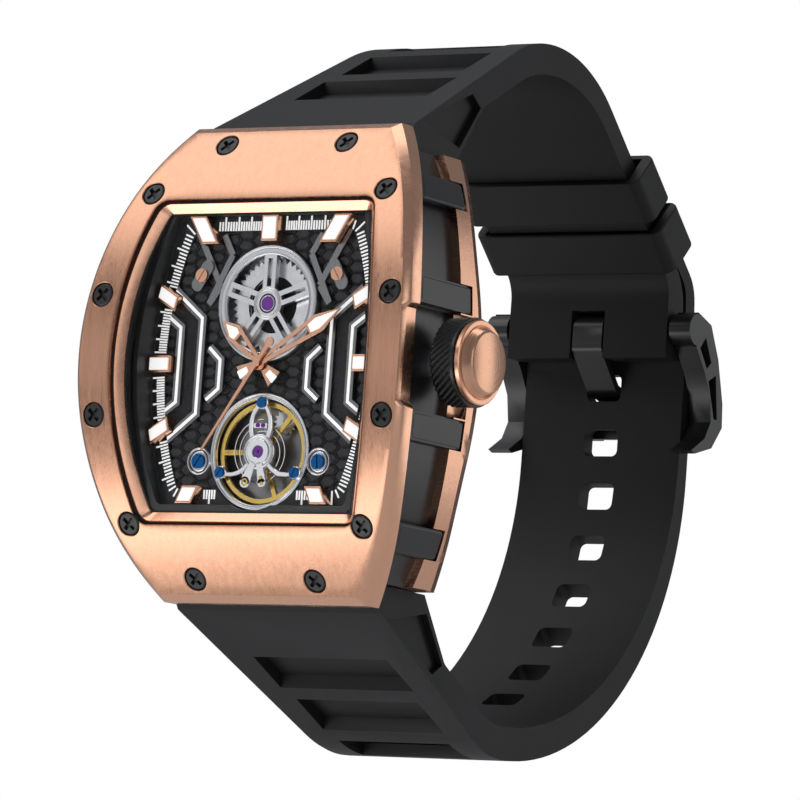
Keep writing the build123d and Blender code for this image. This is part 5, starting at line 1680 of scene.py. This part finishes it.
@dataclass
class Works:
    """The barrel's rings, and the balance's ring, bridge, regulator, screws and jewels.

    A piece's levels are the heights of its foot and its top. A ring's size is its two radii and its levels.
    """

    layout: Layout = Layout()
    barrel_broad: tuple[RingSize, ...] = (
        (5.1, 6.07, -0.1, 0.13), (5.8, 6.07, 0.0, 0.24), (1.32, 1.66, 0.0, 0.2)
    )
    barrel_shade: RingSize = (0.78, 1.1, 0.0, 0.115)
    barrel_web_shade: RingSize = (0.8, 2.97, -1.36, -1.2)
    ring: RingSize = (5.55, 6.1, -1.1, -0.52)
    ring_lips: tuple[RingSize, ...] = (
        (5.93, 6.1, -0.6, -0.38), (5.56, 5.7, -0.6, -0.42), (1.55, 1.85, -0.25, -0.1)
    )
    ring_shade: RingSize = (5.72, 5.91, -0.6, -0.53)
    ears: Pair = (7.45, -10.55)
    ear: tuple[float, float, float] = (1.45, -0.7, -0.35)
    ear_lips: tuple[RingSize, ...] = ((1.26, 1.43, -0.4, -0.2), (0.86, 1.03, -0.4, -0.24))
    ear_shade: RingSize = (1.05, 1.24, -0.4, -0.33)
    hub: Pair = (0.66, 1.9)
    foot_reach: float = 5.12
    foot_turns: tuple[float, ...] = (90.0, 205.0, 335.0)
    foot_radius: float = 0.7
    bridge_levels: Pair = (-0.54, -0.2)
    bridge_width: float = 0.5
    collar: Pair = (0.64, 1.35)
    lug_levels: Pair = (-0.19, -0.05)
    lug_turns: Pair = (247.0, 283.0)
    lug_reach: Pair = (3.45, 3.3)
    lug_ends: Pair = (0.62, 0.5)
    eyelet: RingSize = (0.2, 0.4, -0.1, 0.02)
    pin: tuple[float, float, float] = (0.2, -0.1, 0.03)
    pin_reach: Pair = (2.75, 3.4)
    jewel: tuple[float, float, float] = (0.24, -0.3, -0.12)
    jewel_places: tuple[Pair, ...] = ((-0.3, -6.8), (0.35, -6.8))
    ear_screw: ScrewHead = ScrewHead(0.78, 0.3, 0.16, 1.0, 0.12, edge=0.08)
    ear_screw_turns: Pair = (0.2, 0.9)
    foot_screw: ScrewHead = ScrewHead(0.58, 0.2, 0.13, 0.8, 0.09, edge=0.06)
    foot_screw_turns: tuple[float, ...] = (2.2, 0.1, 0.4)

    def rings(
        self,
        name: str,
        look: Look,
        placed: Iterable[tuple[Pair, RingSize]],
        body: str = "case",
    ) -> None:
        """Show rounded rings as one piece.

        Args:
            name: name of the piece.
            look: its finish.
            placed: place and size of each ring.
            body: the body that carries them.
        """
        shape = Shape()
        for centre, size in placed:
            shape.turned(centre, soft_section(*size))
        show(shape.made(name, 50.0), look, body)

    def ear_places(self) -> list[Pair]:
        """Places of the two ears of the balance's ring."""
        return [(side * self.ears[0], self.ears[1]) for side in (-1, 1)]

    def feet(self) -> list[np.ndarray]:
        """Places of the bridge's feet, from the balance's axis."""
        return [self.foot_reach * self.way(turn) for turn in self.foot_turns]

    def way(self, turn: float) -> np.ndarray:
        """Direction over the dial at an angle in degrees from the crown side."""
        return np.array((math.cos(math.radians(turn)), math.sin(math.radians(turn))))

    def bridge(self) -> bpy.types.Object:
        """Make a hub with two horned arms, a split upper arm and a foot at the end of each.

        Returns:
            The bridge.
        """
        shape = Shape()
        middle = np.array(self.layout.balance)
        low, high = self.bridge_levels
        shape.turned(middle, ring_section(*self.hub, low, high, 0.1))
        top, left, right = self.feet()
        arms = [((-1.1, -1.1), (-2.5, -2.9), left), ((1.1, -1.1), (2.5, -2.9), right)]
        arms += [((side * 0.9, 1.3), (side * 1.75, 3.6), top + (side * 0.1, 0)) for side in (-1, 1)]
        share = np.linspace(0, 1, 18)[:, None]
        rest = 1 - share
        for start, bend, end in arms:
            path = rest**2 * np.array(start) + 2 * share * rest * np.array(bend) + share**2 * end
            shape.strip(middle + path, self.bridge_width, low, high, 0.08)
        cross = np.linspace((-0.85, 2.75), (0.85, 2.75), 6)
        shape.strip(middle + cross, self.bridge_width + 0.05, low, high - 0.02, 0.08)
        for foot in (top, left, right):
            shape.disc(middle + foot, disc_section(self.foot_radius, low - 0.01, high, 0.08))
        return shape.made("balance_bridge_piece")

    def lugs(self) -> bpy.types.Object:
        """Make the regulator: a ring round the jewel and two tapering lugs with rounded ends.

        Returns:
            The regulator.
        """
        shape = Shape()
        middle = np.array(self.layout.balance)
        low, high = self.lug_levels
        shape.turned(middle, ring_section(*self.collar, low, high, 0.08, 0.07))
        for turn, far, wide in zip(self.lug_turns, self.lug_reach, self.lug_ends):
            way = self.way(turn)
            path = middle + np.linspace(1.2, far, 8)[:, None] * way
            shape.strip(path, np.linspace(0.7, 2 * wide, 8), low, high, 0.04)
            shape.disc(middle + far * way, disc_section(wide, low, high, 0.04))
        return shape.made("regulator_piece")

    def dots(self) -> bpy.types.Object:
        """Make the gold eyelet on the left lug and the two gold pins on the right one.

        Returns:
            The eyelet and the pins.
        """
        shape = Shape()
        middle = np.array(self.layout.balance)
        left, right = (self.way(turn) for turn in self.lug_turns)
        shape.turned(middle + self.lug_reach[0] * left, ring_section(*self.eyelet, 0.04), 40)
        for far in self.pin_reach:
            shape.disc(middle + far * right, disc_section(*self.pin, 0.06, 0.05), 32)
        return shape.made("regulator_dots")

    def holder(self) -> bpy.types.Object:
        """Make the ring of the balance, with a round ear at each side.

        Returns:
            The ring.
        """
        shape = Shape()
        shape.turned(self.layout.balance, ring_section(*self.ring, 0.06), 128)
        for ear in self.ear_places():
            shape.disc(ear, disc_section(*self.ear, 0.05))
        return shape.made("balance_holder", 50.0)

    def barrel_rings(self) -> None:
        """Build and dress the rings of the barrel, and the dark rings of painted shade on it."""
        place = self.layout.barrel
        self.rings("barrel_rings", Look.SILVER, [(place, size) for size in self.barrel_broad])
        self.rings("barrel_shades", Look.SEAL_AND_SHADE, [(place, self.barrel_shade)])
        # The dark disc over the barrel's recessed web is painted shade.
        self.rings("barrel_web_shade", Look.SEAL_AND_SHADE, [(place, self.barrel_web_shade)], "barrel")

    def balance_rings(self) -> None:
        """Build and dress the bright lips about the balance and the ears, and the painted shade between them.
        """
        place = self.layout.balance
        lips = [(place, size) for size in self.ring_lips]
        shades = [(place, self.ring_shade)]
        for ear in self.ear_places():
            lips += [(ear, size) for size in self.ear_lips]
            shades.append((ear, self.ear_shade))
        self.rings("balance_rings", Look.CHROME, lips)
        self.rings("balance_shades", Look.SEAL_AND_SHADE, shades)

    def screws(self) -> None:
        """Build and dress the blue screws of the ears and of the bridge's feet."""
        ears = [facing(*ear, -0.05, turn) for ear, turn in zip(self.ear_places(), self.ear_screw_turns)]
        show(self.ear_screw.build("ear_heads", ears, Look.BLUE), Look.BLUE, "case", "ring_screws")
        feet = [
            facing(a, self.layout.balance[1] + b, 0.0, turn)
            for (a, b), turn in zip(self.feet(), self.foot_screw_turns)
        ]
        show(self.foot_screw.build("foot_heads", feet, Look.BLUE), Look.BLUE, "case", "bridge_screws")

    def jewels(self) -> bpy.types.Object:
        """Make the two small jewels over the balance.

        Returns:
            The jewels.
        """
        shape = Shape()
        for place in self.jewel_places:
            shape.disc(place, disc_section(*self.jewel, 0.08, 0.04), 24)
        return shape.made("bridge_jewels")

    def build(self) -> None:
        """Build and dress the works."""
        show(self.holder(), Look.CHROME, "case", "balance_ring")
        self.barrel_rings()
        show(self.bridge(), Look.CHROME, "case", "balance_bridge")
        show(self.lugs(), Look.CHROME, "case", "regulator")
        show(self.dots(), Look.GOLD, "case")
        self.balance_rings()
        self.screws()
        show(self.jewels(), Look.RUBY, "case")


@dataclass
class Crown:
    """The crown: a grip knurled like a rope, a polished cap and a rim.

    Its sections are given by radius and by distance past the grip's end.
    """

    start: float = 21.2
    end: float = 23.95
    depth: float = 3.2
    radius: float = 4.6
    knurl: float = 0.26
    teeth: int = 40
    lean: float = 0.26
    cap_section: tuple[Pair, ...] = (
        (4.28, 0.0), (4.35, 0.07), (4.35, 0.5), (4.25, 0.6), (3.82, 0.6),
        (3.7, 0.5), (3.62, 0.6), (3.3, 1.35), (3.18, 1.52), (3.02, 1.6),
    )
    rim_section: tuple[Pair, ...] = (
        (4.1, -0.4), (4.55, -0.4), (4.6, -0.35), (4.6, -0.05), (4.5, 0.0), (4.1, 0.0)
    )

    def grip(self) -> bpy.types.Object:
        """Make the grip as a drum whose ridges lean round it like a rope.

        Returns:
            The grip.
        """
        lengths = {"Radius": self.radius, "Length": self.end - self.start, "Knurl": self.knurl}
        graph = Pattern("grip", lengths, {"Teeth": self.teeth, "Lean": self.lean})
        radius, length, knurl, teeth, lean = graph.given()
        x, y, z = graph.position()
        turn = graph.maths("ARCTAN2", y, x)
        share = z / length * 2.0
        ridge = graph.maths("SINE", (turn + share * lean) * teeth * 0.5)
        end = graph.maths("ABSOLUTE", share) ** 7.0
        down = (1.0 - graph.maths("ABSOLUTE", ridge)) * knurl + end * knurl * 0.5
        keep = 1.0 - down / radius * graph.maths("GREATER_THAN", x * x + y * y, radius * radius * 0.8)
        drum = graph.cylinder(self.teeth * 8, 16, radius, length)
        drum = graph.moved(drum, graph.combine(x * keep, y * keep, z))
        frame = Matrix(((0, 0, 1), (0, 1, 0), (-1, 0, 0))).to_4x4()
        frame.translation = ((self.start + self.end) / 2, DIAL_Y + self.depth, 0)
        return graph.worked(graph.stand(drum), marks([frame]), Look.BLACK, "crown_grip_piece")

    def turned(self, name: str, section: Sequence[Pair], solid: bool) -> bpy.types.Object:
        """Make a knob or a ring about the crown's axis.

        Args:
            name: name of the piece.
            section: its section.
            solid: whether its ends are closed by faces, and not by each other.

        Returns:
            The piece.
        """
        turn = np.linspace(0, TURN, 96, endpoint=False)
        rows = []
        for radius, past in section:
            depth = DIAL_Y + self.depth + radius * np.cos(turn)
            rows.append(np.c_[np.full(len(turn), self.end + past), depth, radius * np.sin(turn)])
        shape = Shape()
        if solid:
            shape.closed(np.array(rows))
        else:
            shape.grid(np.array(rows), wrap_rows=True)
        return shape.made(name)

    def build(self) -> None:
        """Build and dress the crown."""
        show(self.grip(), Look.BLACK, "crown", "crown_grip")
        show(self.turned("crown_cap_piece", self.cap_section, True), Look.CROWN, "crown", "crown_cap")
        show(self.turned("crown_rim", self.rim_section, False), Look.BLACK, "crown")


@dataclass(frozen=True)
class Lamp:
    """A soft rectangular lamp, turned to the watch, with its power in watts."""

    name: str
    place: tuple[float, float, float]
    size: Pair
    power: float

    def build(self, aim: Sequence[float]) -> None:
        """Put the lamp in the scene.

        Args:
            aim: place that it is turned to, in millimetres.
        """
        data = bpy.data.lights.new(self.name, "AREA")
        data.shape = "RECTANGLE"
        data.size, data.size_y = (side * MM for side in self.size)
        data.energy = self.power
        lamp = bpy.data.objects.new(self.name, data)
        lamp.location = Vector(self.place) * MM
        lamp.rotation_euler = (Vector(aim) - Vector(self.place)).to_track_quat("-Z", "Y").to_euler()
        bpy.context.scene.collection.objects.link(lamp)


@dataclass
class Stage:
    """Camera, lamps, floor and background.

    The camera's angles are in radians, from the front of the watch, and its focal length and its shift come
    from the fit to the photograph.
    """

    azimuth: float = 0.58034646
    elevation: float = -0.11067429
    roll: float = -0.07082982
    distance: float = 645.1065
    focal_pixels: float = 6252.03277
    shift: Pair = (14.0456055, -4.16987232)
    picture: float = 800.0
    sensor: float = 36.0
    floor_up: float = -130.0
    floor_half: float = 3000.0
    # The floor's glow reaches only the camera and keeps the floor evenly pale.
    floor_paint: Backdrop = Backdrop("floor_pale", "", (0.9, 0.9, 0.9), 0.9, painted_glow=0.76)
    sky: tuple[float, ...] = (0.9, 0.93, 1.0, 1.0)
    sky_strength: float = 0.25
    aim: tuple[float, float, float] = (0.0, -10.0, 0.0)
    lamps: tuple[Lamp, ...] = (
        Lamp("lamp_high", (-270, -260, 375), (450, 300), 0.66),
        Lamp("lamp_low", (-98, -155, -103), (240, 60), 0.1),
        Lamp("lamp_front", (-324, -560, 66), (240, 200), 0.09),
        Lamp("lamp_right", (480, -300, 90), (180, 420), 0.22),
        Lamp("lamp_behind", (400, 430, 80), (300, 420), 0.42),
        Lamp("lamp_top", (-120, 60, 600), (560, 420), 1.1),
    )

    def axes(self) -> tuple[Vector, Vector, Vector]:
        """Axes of the camera.

        Returns:
            Right, up and backwards.
        """
        level = Vector((math.cos(self.azimuth), math.sin(self.azimuth), 0))
        flat, rise = math.cos(self.elevation), math.sin(self.elevation)
        back = Vector((math.sin(self.azimuth) * flat, -math.cos(self.azimuth) * flat, rise))
        above = back.cross(level)
        right = level * math.cos(self.roll) - above * math.sin(self.roll)
        up = above * math.cos(self.roll) + level * math.sin(self.roll)
        return right, up, back

    def camera(self) -> None:
        """Stand the camera at the photograph's place."""
        right, up, back = self.axes()
        data = bpy.data.cameras.new("camera")
        data.sensor_width = self.sensor
        data.lens = self.focal_pixels * self.sensor / self.picture
        data.clip_end = 100.0
        camera = bpy.data.objects.new("camera", data)
        place = back * self.distance + right * self.shift[0] + up * self.shift[1] + Vector((0, DIAL_Y, 0))
        turn = Matrix((right, up, back)).transposed().to_4x4()
        camera.matrix_world = Matrix.Translation(place * MM) @ turn
        bpy.context.scene.collection.objects.link(camera)
        bpy.context.scene.camera = camera

    def floor(self) -> None:
        """Lay a pale floor, well below the watch."""
        wide = self.floor_half
        corners = [(-wide, -wide), (wide, -wide), (wide, wide), (-wide, wide)]
        mesh = bpy.data.meshes.new("floor")
        mesh.from_pydata([Vector((x, y, self.floor_up)) * MM for x, y in corners], [], [(0, 1, 2, 3)])
        mesh.materials.append(self.floor_paint.material())
        linked("floor", mesh)

    def world(self) -> None:
        """Make grey surroundings that the camera sees as white."""
        world = bpy.data.worlds.new("world")
        bpy.context.scene.world = world
        world.use_nodes = True
        graph = ShaderGraph(world.node_tree)
        world.node_tree.nodes.clear()
        seen = graph.camera_sees()
        grey = graph.add("ShaderNodeBackground", None, {"Color": self.sky, "Strength": self.sky_strength})
        white = graph.add("ShaderNodeBackground", None, {"Color": (1.0, 1.0, 1.0, 1.0), "Strength": 1.0})
        mixed = graph.add("ShaderNodeMixShader", None, {0: seen, 1: graph.wire(grey), 2: graph.wire(white)})
        graph.add("ShaderNodeOutputWorld", None, {0: graph.wire(mixed)})

    def build(self) -> None:
        """Set up everything round the watch."""
        self.camera()
        self.floor()
        self.world()
        for lamp in self.lamps:
            lamp.build(self.aim)
        bpy.context.scene.view_settings.view_transform = "Standard"
        log.info("stage")


@dataclass
class Kept:
    """CAD nodes whose shape is kept, those whose edges are rounded, and the two broader hands."""

    layout: Layout = Layout()
    hand_share: float = 1.5
    hand_edge: float = 0.03
    hub_reach: float = 0.9
    hub_blend: float = 1.5
    plain: tuple[tuple[Look, tuple[str, ...]], ...] = (
        (Look.SCREW, ("back_screws", "strap_screws")),
        (Look.SEAL_AND_SHADE, ("bezel_gasket", "back_gasket", "back_glass_ring")),
        (Look.GLASS, ("back_crystal",)),
        (Look.DIAL, ("dial_plate",)),
        (Look.LUME, ("frame_inlays", "marker_lume")),
        (Look.RUBY, ("barrel_jewel", "balance_jewel")),
        (Look.STEEL, ("main_plate", "movement_ring", "rear_bridge", "stem")),
        (Look.SILVER, ("escape_wheel", "pallet_fork", "rotor_post", "rotor")),
        (Look.SILVER, ("crown_tube", "setting_lever", "balance_staff", "barrel_wheel")),
        (Look.CHROME, ("hairspring",)),
        (Look.ROSE_BRIGHT, ("dial_screws",)),
        (Look.BLACK, ("buckle_bar",)),
    )
    soft: tuple[tuple[str, Look, float, str], ...] = (
        ("dial_frames", Look.FRAME, 0.12, "case"),
        ("upper_struts", Look.STRUT, 0.1, "case"),
        ("strut_plates", Look.STRUT, 0.05, "case"),
        ("barrel_bridge", Look.SILVER, 0.12, "case"),
        ("balance_wheel", Look.GOLD, 0.05, "balance"),
        ("hour_markers", Look.ROSE_BRIGHT, 0.08, "case"),
        ("seconds_hand", Look.ROSE_BRIGHT, 0.03, "seconds_hand"),
        ("buckle_frame", Look.BLACK, 0.3, "buckle_frame"),
        ("buckle_prong", Look.BLACK, 0.2, "buckle_prong"),
        ("upper_strap", Look.RUBBER, 0.35, "case"),
        ("lower_strap", Look.RUBBER, 0.35, "case"),
        ("fixed_keeper", Look.RUBBER, 0.35, "case"),
        ("free_keeper", Look.RUBBER, 0.35, "free_keeper"),
    )

    def hand(self, name: str) -> None:
        """Show a hand and its lume broader than the CAD nodes, away from the hub.

        Args:
            name: which hand.
        """
        hub = np.array(self.layout.hands)
        places = np.array([v.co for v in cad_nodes[f"{name}_hand"].data.vertices]) / MM
        from_hub = places[:, [0, 2]] - hub
        way = from_hub[np.hypot(*from_hub.T).argmax()]
        way /= np.linalg.norm(way)
        side = np.array((-way[1], way[0]))
        for node, look in ((f"{name}_hand", Look.ROSE_BRIGHT), (f"{name}_lume", Look.LUME)):
            made = rounded(node, self.hand_edge, f"{node}_piece")
            for vertex in made.data.vertices:
                flat = np.array((vertex.co.x, vertex.co.z)) / MM - hub
                past = min(max((abs(flat @ way) - self.hub_reach) / self.hub_blend, 0.0), 1.0)
                flat += side * (flat @ side) * (self.hand_share - 1.0) * past
                vertex.co.x, vertex.co.z = (hub + flat) * MM
            show(made, look, f"{name}_hand", node)

    def build(self) -> None:
        """Build and dress the kept nodes."""
        self.hand("hour")
        self.hand("minute")
        for look, nodes in self.plain:
            for node in nodes:
                dressed(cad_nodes[node], look)
                log.info("%s as in the CAD", node)
        for node, look, width, body in self.soft:
            show(rounded(node, width, f"{node}_piece"), look, body, node)


def main() -> None:
    """Build the scene in order."""
    logging.basicConfig(level=logging.INFO, format="%(message)s")
    bpy.ops.object.select_all(action="SELECT")
    bpy.ops.object.delete()
    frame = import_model()
    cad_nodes.update(frame["nodes"])
    Stage().build()
    Case().build()
    Dial().build()
    Works().build()
    Crown().build()
    Kept().build()


if __name__ == "__main__":
    main()
